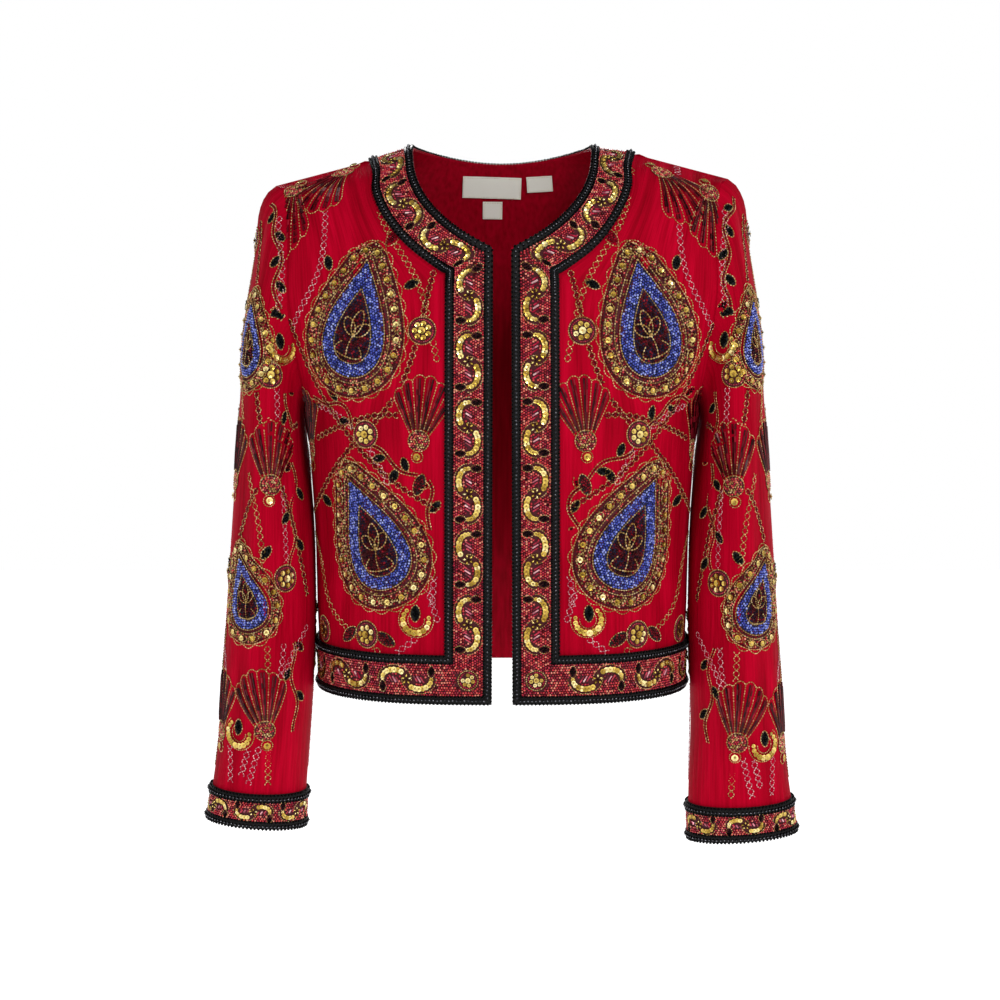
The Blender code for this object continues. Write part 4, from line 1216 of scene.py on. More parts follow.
def facet_mesh(sides: int = 4) -> tuple[np.ndarray, np.ndarray]:
    """Cut bead: a flat top and bevelled sides."""
    points = [*ring_of(sides, 0.5, 0.48), *ring_of(sides, 0.36, 0.86), (0, 0, 0.0)]
    faces = []
    for i in range(sides):
        after = (i + 1) % sides
        faces += [(i, after, after + sides), (i, after + sides, i + sides)]
    faces += [(sides, sides + i, sides + i + 1) for i in range(1, sides - 1)]
    return np.array(points), np.array(faces + fan_of(list(range(sides)), 2 * sides, False))


MESHES = {
    Shape.SEED: seed_mesh(),
    Shape.BUGLE: bugle_mesh(),
    Shape.SEQUIN: sequin_mesh(),
    Shape.FACET: facet_mesh(),
}


def number_of(finish: Finish) -> int:
    """Number of a finish among them all."""
    return list(Finish).index(finish)


class Pile:
    """Many small things gathered into one joined mesh."""

    def __init__(self, name: str) -> None:
        """Starts empty."""
        self.name = name
        self.points: list[np.ndarray] = []
        self.faces: list[np.ndarray] = []
        self.finishes: list[np.ndarray] = []
        self.tints: list[np.ndarray] = []
        self.smooth: list[np.ndarray] = []
        self.owners: list[np.ndarray] = []
        self.count = 0
        self.things = 0

    def add(self, points: np.ndarray, faces: np.ndarray, finish: np.ndarray, tint: np.ndarray,
            smooth: bool, owner: np.ndarray) -> None:
        """Adds triangles with a finish, a tint and an owner number for each."""
        self.points.append(points)
        self.faces.append(faces + self.count)
        self.finishes.append(finish)
        self.tints.append(tint)
        self.smooth.append(np.full(len(faces), smooth))
        self.owners.append(owner + self.things)
        self.count += len(points)
        self.things += int(owner.max()) + 1

    def add_slab(self, top: np.ndarray, under: np.ndarray, normals: np.ndarray, quads: np.ndarray,
                 finish: Finish, tint: float) -> None:
        """Adds a closed slab between two layers of points.

        Args:
            top: Outer points.
            under: Inner points, one below each outer one.
            normals: Outward directions.
            quads: Corner numbers of the outer layer's cells.
            finish: Its finish.
            tint: Place of its colour among the finish's colours.
        """
        corners = quads[len(quads) // 2]
        p = top[corners]
        if np.dot(np.cross(p[2] - p[0], p[3] - p[1]), normals[corners[0]]) < 0:
            quads = quads[:, ::-1]
        every = slab_quads(quads, len(top))
        faces = np.concatenate([every[:, [0, 1, 2]], every[:, [0, 2, 3]]])
        self.add(np.concatenate([top, under]), faces, np.full(len(faces), number_of(finish)),
                 np.full(len(faces), tint), True, np.zeros(len(faces), int))

    def sew(self, shape: Shape, seats: Seats, turn: np.ndarray, size: np.ndarray,
            finish: np.ndarray, lift: np.ndarray) -> None:
        """Sews copies of one shape to the cloth.

        Args:
            shape: What is sewn on.
            seats: Where.
            turn: Each copy's turn on the cloth, in radians.
            size: Each copy's length, width and height.
            finish: Each copy's number among the finishes.
            lift: Each copy's height above the cloth.
        """
        good = seats.valid
        if not good.any():
            return
        normal, along = seats.normals[good], seats.along[good]
        across = unit(np.cross(normal, along))
        along = np.cross(across, normal)
        angle = turn[good] * seats.hand
        cos, sin = np.cos(angle)[:, None], np.sin(angle)[:, None]
        axes = np.stack([along * cos + across * sin, across * cos - along * sin, normal], axis=1)
        points, faces = MESHES[shape]
        local = points[None] * size[good][:, None]
        world = np.einsum("nvk,nkc->nvc", local, axes)
        world += (seats.points[good] + normal * lift[good][:, None])[:, None]
        number, per = len(world), len(faces)
        every = (faces[None] + np.arange(number)[:, None, None] * len(points)).reshape(-1, 3)
        tints = np.repeat(random.random(number), per)
        self.add(world.reshape(-1, 3), every, np.repeat(finish[good], per), tints, shape is Shape.SEED,
                 np.repeat(np.arange(number), per))

    def build(self, book: MaterialBook) -> bpy.types.Object:
        """Makes the joined mesh, with a small patch of the bake's map for each thing."""
        points, faces = np.concatenate(self.points), np.concatenate(self.faces)
        finishes, tints = np.concatenate(self.finishes), np.concatenate(self.tints)
        thing = add_mesh(self.name, points, faces)
        mesh = thing.data
        used, index = np.unique(finishes, return_inverse=True)
        for number in used:
            mesh.materials.append(book.of(list(Finish)[number]))
        mesh.polygons.foreach_set("material_index", index.astype(np.int32))
        mesh.polygons.foreach_set("use_smooth", np.concatenate(self.smooth))
        tint = mesh.attributes.new("tint", "FLOAT", "FACE")
        tint.data.foreach_set("value", tints.astype(np.float32))
        owners = np.concatenate(self.owners)
        side = math.ceil(math.sqrt(self.things))
        middle = (np.column_stack([owners % side, owners // side]) + 0.5) / side
        corners = np.array([(-0.3, -0.3), (0.3, -0.3), (0.0, 0.3)]) / side
        lay = mesh.uv_layers.new(name="OFBake")
        lay.uv.foreach_set("vector", (middle[:, None] + corners[None]).astype(np.float32).reshape(-1))
        return thing


# Distance between a strip's cross-sections, and an edging cord's rim and rise, in millimetres
STRIP_STEP = 5.0
CORD_EDGE = 0.35
CORD_CROWN = 2.5
STRIP_TINT = 0.4


@dataclass
class Leg:
    """One straight stretch of a band: `u` runs along it and `v` in from the garment's edge, in mm."""

    cloth: Cloth
    band: float
    first_place: float
    up_rows: bool
    start: float
    end: float
    inward: int = 1
    mitre: float = 0.0
    places: np.ndarray = field(init=False)
    run: np.ndarray = field(init=False)

    def __post_init__(self) -> None:
        """Measures the stretch along the middle of its field."""
        self.places = np.linspace(self.start, self.end, 600)
        points = self.grid_points(self.places, self.across_place(self.band / MM / 2))[0]
        self.run = run_of(points) / MM

    @property
    def length(self) -> float:
        """Length of the stretch in millimetres."""
        return float(self.run[-1])

    def across_place(self, v: np.ndarray) -> np.ndarray:
        """Grid place of a line `v` millimetres in from the edge."""
        stops = PATTERN.stops(self.band) / MM
        return self.first_place + self.inward * np.interp(v, stops, np.arange(len(stops)))

    def grid_points(self, along: np.ndarray, across: np.ndarray) -> tuple[np.ndarray, ...]:
        """Points of the cloth at places along and across the band."""
        return self.cloth.at(along, across) if self.up_rows else self.cloth.at(across, along)

    def along_place(self, u: np.ndarray) -> np.ndarray:
        """Grid place `u` millimetres along the stretch."""
        return np.interp(u, self.run, self.places)

    def seats(self, u: np.ndarray, v: np.ndarray) -> Seats:
        """Seats at some lengths along the stretch and in from its edge."""
        u, v = np.broadcast_arrays(np.asarray(u, float), np.asarray(v, float))
        across = self.across_place(v)
        points, normals, valid = self.grid_points(self.along_place(u), across)
        ahead = self.grid_points(self.along_place(u + 1), across)[0]
        behind = self.grid_points(self.along_place(u - 1), across)[0]
        valid = valid & (u >= 0) & (u <= self.length)
        if self.mitre:
            valid = valid & (u >= v * self.mitre)
        along = unit(ahead - behind)
        deeper = self.grid_points(self.along_place(u), self.across_place(v + 1))[0] - points
        hand = 1.0 if np.nanmedian((np.cross(normals, along) * deeper).sum(axis=-1)) > 0 else -1.0
        return Seats(points, normals, along, valid, hand)


def edging_height(share: np.ndarray) -> np.ndarray:
    """Height of an edging's round cord across its width, in millimetres."""
    return CORD_EDGE + CORD_CROWN * np.sqrt(np.clip(1 - (2 * share - 1) ** 2, 0, 1))


def add_strip(pile: Pile, leg: Leg, v: np.ndarray, height: np.ndarray, floor: float,
              finish: Finish) -> None:
    """Closed strip along a stretch of band.

    Args:
        pile: Pile that it joins.
        leg: The stretch.
        v: Its lines, in millimetres in from the garment's edge.
        height: Height of each line above the cloth, in millimetres.
        floor: Height of its underside, in millimetres.
        finish: Its finish.
    """
    count = max(4, round(leg.length / STRIP_STEP))
    start = (v * leg.mitre)[None]
    u = start + (leg.length - start) * np.linspace(0, 1, count + 1)[:, None]
    seats = leg.seats(u, np.broadcast_to(v, u.shape))
    top = seats.points + seats.normals * (np.asarray(height)[None, :, None] * MM)
    under = seats.points + seats.normals * (floor * MM)
    pile.add_slab(top.reshape(-1, 3), under.reshape(-1, 3), seats.normals.reshape(-1, 3),
                  grid_quads(*u.shape), finish, STRIP_TINT)


def walk(path: np.ndarray, pitch: float) -> tuple[np.ndarray, np.ndarray]:
    """Points at an even pitch along a flat line, and the line's direction at each in radians."""
    run = run_of(path)
    count = max(1, round(run[-1] / pitch))
    at = (np.arange(count) + 0.5) * run[-1] / count
    points = spaced(path, at)
    ahead, behind = spaced(path, at + 0.3), spaced(path, at - 0.3)
    step = ahead - behind
    return points, np.arctan2(step[:, 1], step[:, 0])


def depth_inside(points: np.ndarray, outline: np.ndarray) -> np.ndarray:
    """Distance of some points inside a closed outline, negative where they lie outside it."""
    a, b = outline, np.roll(outline, -1, axis=0)
    edge = b - a
    from_a = points[:, None] - a[None]
    share = np.clip((from_a * edge).sum(-1) / np.maximum((edge * edge).sum(-1), 1e-9), 0, 1)
    distance = np.linalg.norm(from_a - share[..., None] * edge, axis=-1).min(axis=1)
    crosses = (a[:, 1] > points[:, None, 1]) != (b[:, 1] > points[:, None, 1])
    height = np.where(np.abs(edge[:, 1]) < 1e-9, 1e-9, edge[:, 1])
    x_at = a[:, 0] + (points[:, None, 1] - a[:, 1]) / height * edge[:, 0]
    inside = (crosses & (points[:, None, 0] < x_at)).sum(axis=1) % 2 == 1
    return np.where(inside, distance, -distance)


def turned(points: np.ndarray, angle: float) -> np.ndarray:
    """Flat points turned about the origin by an angle in radians."""
    cos, sin = math.cos(angle), math.sin(angle)
    return points @ np.array([[cos, sin], [-sin, cos]])


def on_circle(turns: np.ndarray) -> np.ndarray:
    """Points of a circle of radius 1 at some turns in radians."""
    return np.column_stack([np.cos(turns), np.sin(turns)])


def inset(outline: np.ndarray, by: float) -> np.ndarray:
    """Closed line at a distance inside an outline, or outside it where the distance is negative."""
    step = unit(np.roll(outline, -1, axis=0) - np.roll(outline, 1, axis=0))
    inward = np.column_stack([-step[:, 1], step[:, 0]])
    if depth_inside((outline + inward * 0.01)[:1], outline)[0] < 0:
        inward = -inward
    moved = outline + inward * by
    keep = np.abs(depth_inside(moved, outline) - by) < 0.25
    kept = moved[keep]
    return np.concatenate([kept, kept[:1]]) if len(kept) > 3 else np.zeros((0, 2))


def closed(outline: np.ndarray) -> np.ndarray:
    """An outline with its first point again at its end."""
    return np.concatenate([outline, outline[:1]])


# Rows of a filled area as a share of its pitch, and how far a hand strays from the pitch
ROW_SHARE = 0.88
HAND_SHARE = 0.16
# Farther inside an outline than any of its points, in millimetres
ALL_IN = 99
# Backings: top and underside in millimetres, tint, and the rings of large and of small ones
GROUND_FACES = (0.35, -0.25)
GROUND_TINT = 0.5
GROUND_RINGS = (1.0, 0.78, 0.56, 0.32, 0.06)
SMALL_RINGS = (1.0, 0.5, 0.06)
SMALL_GROUND = 32
MANY_POINTS = 40


class Chart:
    """A design in beads, laid out flat in millimetres."""

    def __init__(self) -> None:
        """Starts bare."""
        self.rows: dict[Shape, list[np.ndarray]] = {shape: [] for shape in Shape}
        self.grounds: list[tuple[np.ndarray, Finish]] = []
        self.edge = np.zeros((0, 2))

    def put(self, shape: Shape, points: np.ndarray, turn: float | np.ndarray, length: float, width: float,
            finish: Finish | np.ndarray, lift: float | np.ndarray = 0.0) -> None:
        """Lays copies of one shape.

        Args:
            shape: What is laid.
            points: Their places.
            turn: Their turns in radians.
            length: Their length in millimetres.
            width: Their width and height in millimetres.
            finish: One finish, or a number among the finishes for each.
            lift: Height above the cloth.
        """
        points = np.asarray(points, float).reshape(-1, 2)
        number = number_of(finish) if isinstance(finish, Finish) else finish
        table = np.zeros((len(points), 7))
        table[:, :2] = points
        for column, value in enumerate((turn, length, width, number, lift), start=2):
            table[:, column] = value
        self.rows[shape].append(table)

    def sequins(self, points: np.ndarray | tuple, size: float, lift: float, bead: float,
                above: float = 0.9, turn: float = 0.0) -> None:
        """Lays cup sequins, each held down by a small gold bead.

        Args:
            points: Their places.
            size: Their width in millimetres.
            lift: Height above the cloth.
            bead: Width of the bead.
            above: Height of the bead above the sequin.
            turn: Turn in radians.
        """
        self.put(Shape.SEQUIN, points, turn, size, size, Finish.SEQUIN, lift)
        self.put(Shape.SEED, points, 0.0, bead, bead, Finish.GOLD, lift + above)

    def line(self, path: np.ndarray, finish: Finish, width: float, pitch: float,
             lift: float = 0.0, shape: Shape = Shape.SEED) -> None:
        """Lays a row of beads end to end along a line."""
        if len(path) < 2:
            return
        points, turn = walk(path, pitch)
        self.put(shape, points, turn, pitch * 1.02, width, finish, lift)

    def area(self, outline: np.ndarray, near: float, far: float, finishes: dict[Finish, float],
             pitch: float, width: float, lift: float = 0.0) -> None:
        """Fills a ring inside an outline with seed beads.

        Args:
            outline: The closed outline.
            near: Nearest distance to the outline.
            far: Farthest distance.
            finishes: Share of each finish.
            pitch: Distance between beads.
            width: Width of a bead.
            lift: Height above the cloth.
        """
        low, high = outline.min(axis=0) - max(0.0, -near), outline.max(axis=0) + max(0.0, -near)
        points = []
        for n, y in enumerate(np.arange(low[1], high[1], pitch * ROW_SHARE)):
            xs = np.arange(low[0] + (n % 2) * pitch / 2, high[0], pitch)
            points.append(np.column_stack([xs, np.full(len(xs), y)]))
        points = np.concatenate(points)
        points += random.uniform(-HAND_SHARE, HAND_SHARE, points.shape) * pitch
        inside = depth_inside(points, outline)
        points = points[(inside >= near) & (inside <= far)]
        numbers = [number_of(f) for f in finishes]
        shares = np.array(list(finishes.values()))
        chosen = random.choice(numbers, len(points), p=shares / shares.sum())
        turns = random.uniform(0, np.pi, len(points))
        self.put(Shape.SEED, points, turns, width, width, chosen, lift)

    def ground(self, outline: np.ndarray, finish: Finish) -> None:
        """Lays a flat backing under an outline."""
        self.grounds.append((outline, finish))

    def add(self, other: "Chart", at: tuple[float, float], turn: float = 0.0, scale: float = 1.0) -> None:
        """Adds another design, moved, turned in degrees and scaled as asked."""
        angle = math.radians(turn)
        for shape, tables in other.rows.items():
            for table in tables:
                made = table.copy()
                made[:, :2] = turned(table[:, :2] * scale, angle) + at
                made[:, 2] += angle
                made[:, 3:5] *= scale
                self.rows[shape].append(made)
        for outline, finish in other.grounds:
            self.grounds.append((turned(outline * scale, angle) + at, finish))

    def sew(self, pile: Pile, surface: "Leg | Spot | Trail") -> None:
        """Sews the design to a surface that gives seats for flat places."""
        for shape, tables in self.rows.items():
            if tables:
                t = np.concatenate(tables)
                size = np.column_stack([t[:, 3], t[:, 4], t[:, 4]]) * MM
                if shape is Shape.SEQUIN:
                    size[:, 2] = t[:, 3] * MM
                seats = surface.seats(t[:, 0], t[:, 1])
                pile.sew(shape, seats, t[:, 2], size, t[:, 5].astype(int), t[:, 6] * MM)
        for outline, finish in self.grounds:
            self.sew_ground(pile, surface, outline, finish)

    def sew_ground(self, pile: Pile, surface: "Leg | Spot | Trail", outline: np.ndarray,
                   finish: Finish) -> None:
        """Sews a thin flat backing inside an outline, in few rings where it is small."""
        middle = outline.mean(axis=0)
        small = np.ptp(outline, axis=0).max() < SMALL_GROUND
        scales = np.array(SMALL_RINGS if small else GROUND_RINGS)
        outline = outline[::2] if len(outline) > MANY_POINTS else outline
        points = (middle + (outline[None] - middle) * scales[:, None, None]).reshape(-1, 2)
        seats = surface.seats(points[:, 0], points[:, 1])
        if seats.valid.all():
            top, under = (seats.points + seats.normals * h * MM for h in GROUND_FACES)
            quads = grid_quads(len(scales), len(outline), closed=True)
            pile.add_slab(top, under, seats.normals, quads, finish, GROUND_TINT)


class Spot:
    """Flat patch laid on the cloth round one point, up the cloth where it isn't turned.

    A seat is looked for from REACH above the patch, over RAY times that distance, and its cloth faces
    the patch by FACING at least. A line is hidden within NEAR of the middle, flat and deep, in
    millimetres.
    """

    REACH = 40 * MM
    RAY = 2.4
    FACING = 0.12
    NEAR = (120, 45)

    def __init__(self, tree: BVHTree, point: np.ndarray, normal: np.ndarray, turn: float = 0.0,
                 mirror: bool = False) -> None:
        """Keeps the patch's middle and directions.

        Args:
            tree: Search tree of the cloth's cells that may be sewn on.
            point: Middle of the patch.
            normal: Outward direction there.
            turn: Turn of the patch in degrees.
            mirror: Whether its right and left are swapped.
        """
        self.tree = tree
        self.point, self.normal = np.array(point, float), unit(np.array(normal, float))
        up = unit(np.array([0.0, 0.0, 1.0]) - self.normal * self.normal[2])
        right = np.cross(up, self.normal) * (-1 if mirror else 1)
        angle = math.radians(turn)
        self.right = right * math.cos(angle) + up * math.sin(angle)
        self.up = up * math.cos(angle) - right * math.sin(angle)

    def seats(self, u: np.ndarray, v: np.ndarray) -> Seats:
        """Seats at some flat places, found straight below them on the cloth."""
        flat = self.point + np.outer(u, self.right) * MM + np.outer(v, self.up) * MM
        starts = flat + self.normal * self.REACH
        points, normals = flat.copy(), np.tile(self.normal, (len(flat), 1))
        valid = np.zeros(len(flat), bool)
        down = Vector(-self.normal)
        for i, start in enumerate(starts):
            hit, normal, _, _ = self.tree.ray_cast(Vector(start), down, self.RAY * self.REACH)
            if hit is not None and Vector(normal).dot(down) < -self.FACING:
                points[i], normals[i], valid[i] = hit, normal, True
        along = unit(self.right - normals * (normals @ self.right)[:, None])
        hand = 1.0 if np.dot(np.cross(self.normal, self.right), self.up) > 0 else -1.0
        return Seats(points, normals, along, valid, hand)

    def holds(self, points: np.ndarray, edge: np.ndarray) -> np.ndarray:
        """Which points of the cloth lie inside a flat edge on this patch."""
        away = (points - self.point) / MM
        flat = np.column_stack([away @ self.right, away @ self.up])
        wide, deep = self.NEAR
        near = (np.abs(away @ self.normal) < deep) & (np.abs(flat).max(axis=1) < wide)
        inside = np.zeros(len(points), bool)
        if near.any() and len(edge):
            inside[near] = depth_inside(flat[near], edge) > 0
        return inside


class Wrap(Spot):
    """Patch wrapped round a sleeve, so that a design keeps its width where the cloth turns away.

    STEPS is how many steps reach a seat, PROBE the part of a cell that a slope is measured over, and
    MARGIN the part that stays bare at the sleeve's ends.
    """

    STEPS = 10
    PROBE = 0.05
    MARGIN = 0.02

    def __init__(self, tree: BVHTree, cloth: Cloth, row: float, column: float, turn: float = 0.0,
                 mirror: bool = False) -> None:
        """Keeps the patch's middle on the sleeve.

        Args:
            tree: Search tree of the cloth's cells that may be sewn on.
            cloth: The sleeve.
            row: Row of the patch's middle.
            column: Column of the patch's middle.
            turn: Turn of the patch in degrees.
            mirror: Whether its right and left are swapped.
        """
        point, normal, _ = cloth.at(row, column)
        super().__init__(tree, point, normal, turn, mirror)
        self.cloth, self.row, self.column = cloth, row, column
        self.hand = -1.0 if mirror else 1.0

    def laid(self, up: np.ndarray, normals: np.ndarray) -> tuple[np.ndarray, np.ndarray]:
        """The patch's upward directions laid on the cloth, and its directions to the right."""
        up = unit(up - normals * (up * normals).sum(axis=-1, keepdims=True))
        return up, np.cross(up, normals) * self.hand

    def slopes(self, row: np.ndarray, column: np.ndarray) -> tuple[np.ndarray, np.ndarray]:
        """How a point of the sleeve moves with its column and with its row."""
        h = self.PROBE
        by_column = self.cloth.at(row, column + h)[0] - self.cloth.at(row, column - h)[0]
        by_row = self.cloth.at(row + h, column)[0] - self.cloth.at(row - h, column)[0]
        return by_column / (2 * h), by_row / (2 * h)

    def seats(self, u: np.ndarray, v: np.ndarray) -> Seats:
        """Seats at some flat places, each reached from the middle in a few steps over the cloth."""
        u, v = np.broadcast_arrays(np.asarray(u, float), np.asarray(v, float))
        row, column = np.full(u.shape, float(self.row)), np.full(u.shape, float(self.column))
        up, last = np.tile(self.up, (len(u), 1)), PATTERN.cuff_top_row - self.MARGIN
        inside = np.ones(len(u), bool)
        for _ in range(self.STEPS):
            up, right = self.laid(up, self.cloth.at(row, column)[1])
            step = (right * u[:, None] + up * v[:, None]) * (MM / self.STEPS)
            by_column, by_row = self.slopes(row, column)
            cc, rr = (by_column * by_column).sum(axis=-1), (by_row * by_row).sum(axis=-1)
            cr = (by_column * by_row).sum(axis=-1)
            c, r = (by_column * step).sum(axis=-1), (by_row * step).sum(axis=-1)
            area = cc * rr - cr * cr
            column = column + (rr * c - cr * r) / area
            row = row + (cc * r - cr * c) / area
            inside &= (row > self.MARGIN) & (row < last)
            row = np.clip(row, self.MARGIN, last)
        points, normals, valid = self.cloth.at(row, column)
        return Seats(points, normals, self.laid(up, normals)[1], valid & inside, self.hand)


class Trail:
    """Line on the cloth: `u` runs along it and `v` to its side, in millimetres."""

    def __init__(self, points: np.ndarray, normals: np.ndarray,
                 covers: Sequence[tuple[Spot, np.ndarray]] = ()) -> None:
        """Keeps the line, measures it, and keeps the patches that it passes behind."""
        self.points, self.normals, self.covers = points, normals, covers
        self.run = run_of(points) / MM
        self.length = float(self.run[-1])

    def read(self, u: np.ndarray, values: np.ndarray) -> np.ndarray:
        """Values at some lengths along the line."""
        return np.stack([np.interp(u, self.run, values[:, c]) for c in range(3)], axis=-1)

    def seats(self, u: np.ndarray, v: np.ndarray) -> Seats:
        """Seats at some lengths along the line and distances to its side."""
        points, normals = self.read(u, self.points), unit(self.read(u, self.normals))
        along = unit(self.read(u + 1, self.points) - self.read(u - 1, self.points))
        side = np.cross(normals, along)
        valid = (u >= 0) & (u <= self.length)
        for spot, edge in self.covers:
            valid &= ~spot.holds(points, edge)
        return Seats(points + side * (v * MM)[:, None], normals, along, valid)


def circle(radius: float, centre: tuple[float, float] = (0.0, 0.0), parts: int = 48) -> np.ndarray:
    """Points round a circle."""
    return centre + radius * on_circle(2 * np.pi * np.arange(parts) / parts)


def leaf_outline(length: float, width: float, parts: int = 24) -> np.ndarray:
    """Pointed leaf that grows up from the origin."""
    t = np.linspace(0, np.pi, parts // 2 + 1)
    y = length * (1 - np.cos(t)) / 2
    x = width / 2 * np.sin(t) ** 1.3
    return np.concatenate([np.column_stack([x, y]), np.column_stack([-x, y])[-2:0:-1]])


def boteh_outline(height: float, width: float, bend: float, parts: int = 110) -> np.ndarray:
    """Paisley drop: round below, with a tip that leans over to the right."""
    t = 2 * np.pi * np.arange(parts) / parts
    y = height / 2 * np.cos(t)
    x = 0.62 * width * np.sin(t) * np.abs(np.sin(t / 2)) ** 1.25
    rise = y / height + 0.5
    return np.column_stack([x + bend * rise ** 2.6 - bend * 0.12, y])


def leaf_chart(length: float = 15.0, width: float = 8.0, fill: Finish = Finish.JET) -> Chart:
    """Solid leaf with a gold edge."""
    chart = Chart()
    outline = leaf_outline(length, width)
    chart.edge = outline
    chart.ground(outline, Finish.BLACK_CORD)
    chart.area(outline, 0.9, ALL_IN, {fill: 1.0}, 2.5, 2.5)
    chart.line(inset(outline, -0.4), Finish.GOLD, 1.2, 2.7)
    return chart


def rosette_chart(radius: float = 12.5, lift: float = 0.0) -> Chart:
    """Round flower: sequins about a domed middle, in a beaded ring."""
    chart = Chart()
    chart.edge = circle(radius + 1.0)
    # Dark wine backing: painted shade in the gaps between the beads.
    chart.ground(circle(radius - 0.5), Finish.WINE_SHADE_BACKING)
    chart.sequins((0, 0), radius * 0.56, lift + 1.3, 1.8, 0.7)
    chart.sequins(circle(radius * 0.52, parts=7), radius * 0.40, lift + 0.5, 1.3, 0.7)
    chart.line(closed(circle(radius * 0.80)), Finish.ROSE, 1.8, 2.0, lift)
    chart.line(closed(circle(radius)), Finish.GOLD, 1.4, 2.0, lift)
    return chart


def fan_chart(rays: int = 6, spread: float = 62.0, length: float = 66.0) -> Chart:
    """Palmette: dark bugle rays on bare silk with gold lines between, opening from a coral heart."""
    chart = Chart()
    heart = 15.0

    def along(share: float, far: float) -> np.ndarray:
        """Point at a distance from the root, in the direction of a share of the spread."""
        return far * on_circle(math.radians(90 + spread * (share - 0.5)))[0]

    def reach(share: float) -> float:
        """Length of the palmette there."""
        return length * (1 - 0.22 * abs(2 * share - 1) ** 1.6)

    for i in range(rays + 1):
        share = i / rays
        chart.line(np.array([along(share, heart), along(share, reach(share))]), Finish.GOLD, 1.25, 2.6)
    for i in range(rays):
        middle = (i + 0.5) / rays
        for n, fill in ((-1, Finish.BURGUNDY), (1, Finish.WINE)):
            share = middle + n * 0.12 / rays
            path = np.array([along(share, heart + 5.0), along(share, reach(middle) + 0.6)])
            chart.line(path, fill, 1.9, 5.0, 0.0, Shape.BUGLE)
        arch = [((i + b) / rays, 3.4 * math.sin(math.pi * b)) for b in np.linspace(0, 1, 9)]
        cap = np.array([along(share, reach(share) + rise) for share, rise in arch])
        chart.line(cap, Finish.GOLD, 1.25, 2.6)
    centre, root = (0, heart * 0.62), (0, -5.4)
    outline = circle(heart * 0.64, centre)
    # Dark wine backing under the heart: painted shade between its beads.
    chart.ground(outline, Finish.WINE_SHADE_BACKING)
    speckle = {Finish.CORAL: 0.5, Finish.GOLD: 0.3, Finish.ROSE: 0.2}
    chart.area(outline, 0.8, ALL_IN, speckle, 2.3, 2.2)
    for ring in (heart * 0.64, heart * 0.30):
        chart.line(closed(circle(ring, centre)), Finish.GOLD, 1.3, 2.5, 0.6)
    chart.sequins(root, 7.0, 0.8, 1.9, 1.0)
    chart.line(closed(circle(5.2, root)), Finish.GOLD, 1.2, 1.9)
    rim = np.array([along(share, reach(share) + 4) for share in np.linspace(0, 1, 9)])
    chart.edge = np.concatenate([rim, np.array([(-10, 4), (-6, -10), (6, -10), (10, 4)])])
    return chart


def crescent_chart(radius: float = 12.0) -> Chart:
    """Crescent of overlapping sequins that holds a black leaf."""
    chart = Chart()
    chart.edge = circle(radius + 5.5)
    count = 12
    points = radius * on_circle(np.radians(np.linspace(150, 385, count)))
    sizes = 3.6 + 2.9 * np.sin(np.linspace(0.15, math.pi - 0.15, count))
    for n, (point, size) in enumerate(zip(points, sizes)):
        chart.sequins(point, size, 0.5 + 0.35 * (n % 2), 1.2, 0.8)
    for gap in (-4.2, 4.2):
        arc = on_circle(np.radians(np.linspace(148, 387, 40)))
        chart.line((radius + gap) * arc, Finish.GOLD, 1.2, 2.2)
    chart.add(leaf_chart(15.0, 8.5), (0.5, -2.0), -18)
    return chart


def scalloped(outline: np.ndarray, by: float, lobe: float, rise: float) -> np.ndarray:
    """Closed line of small arches at a distance outside an outline."""
    base = inset(outline, -by)
    points, turn = walk(base, 1.0)
    run = np.arange(len(points)) / len(points)
    lobes = max(3, round(run_of(base)[-1] / lobe))
    lift = rise * np.abs(np.sin(math.pi * lobes * run))
    away = np.column_stack([np.sin(turn), -np.cos(turn)])
    middle = outline.mean(axis=0)
    outward = np.sign(((points - middle) * away).sum(axis=1).mean())
    return closed(points + away * (outward * lift)[:, None])


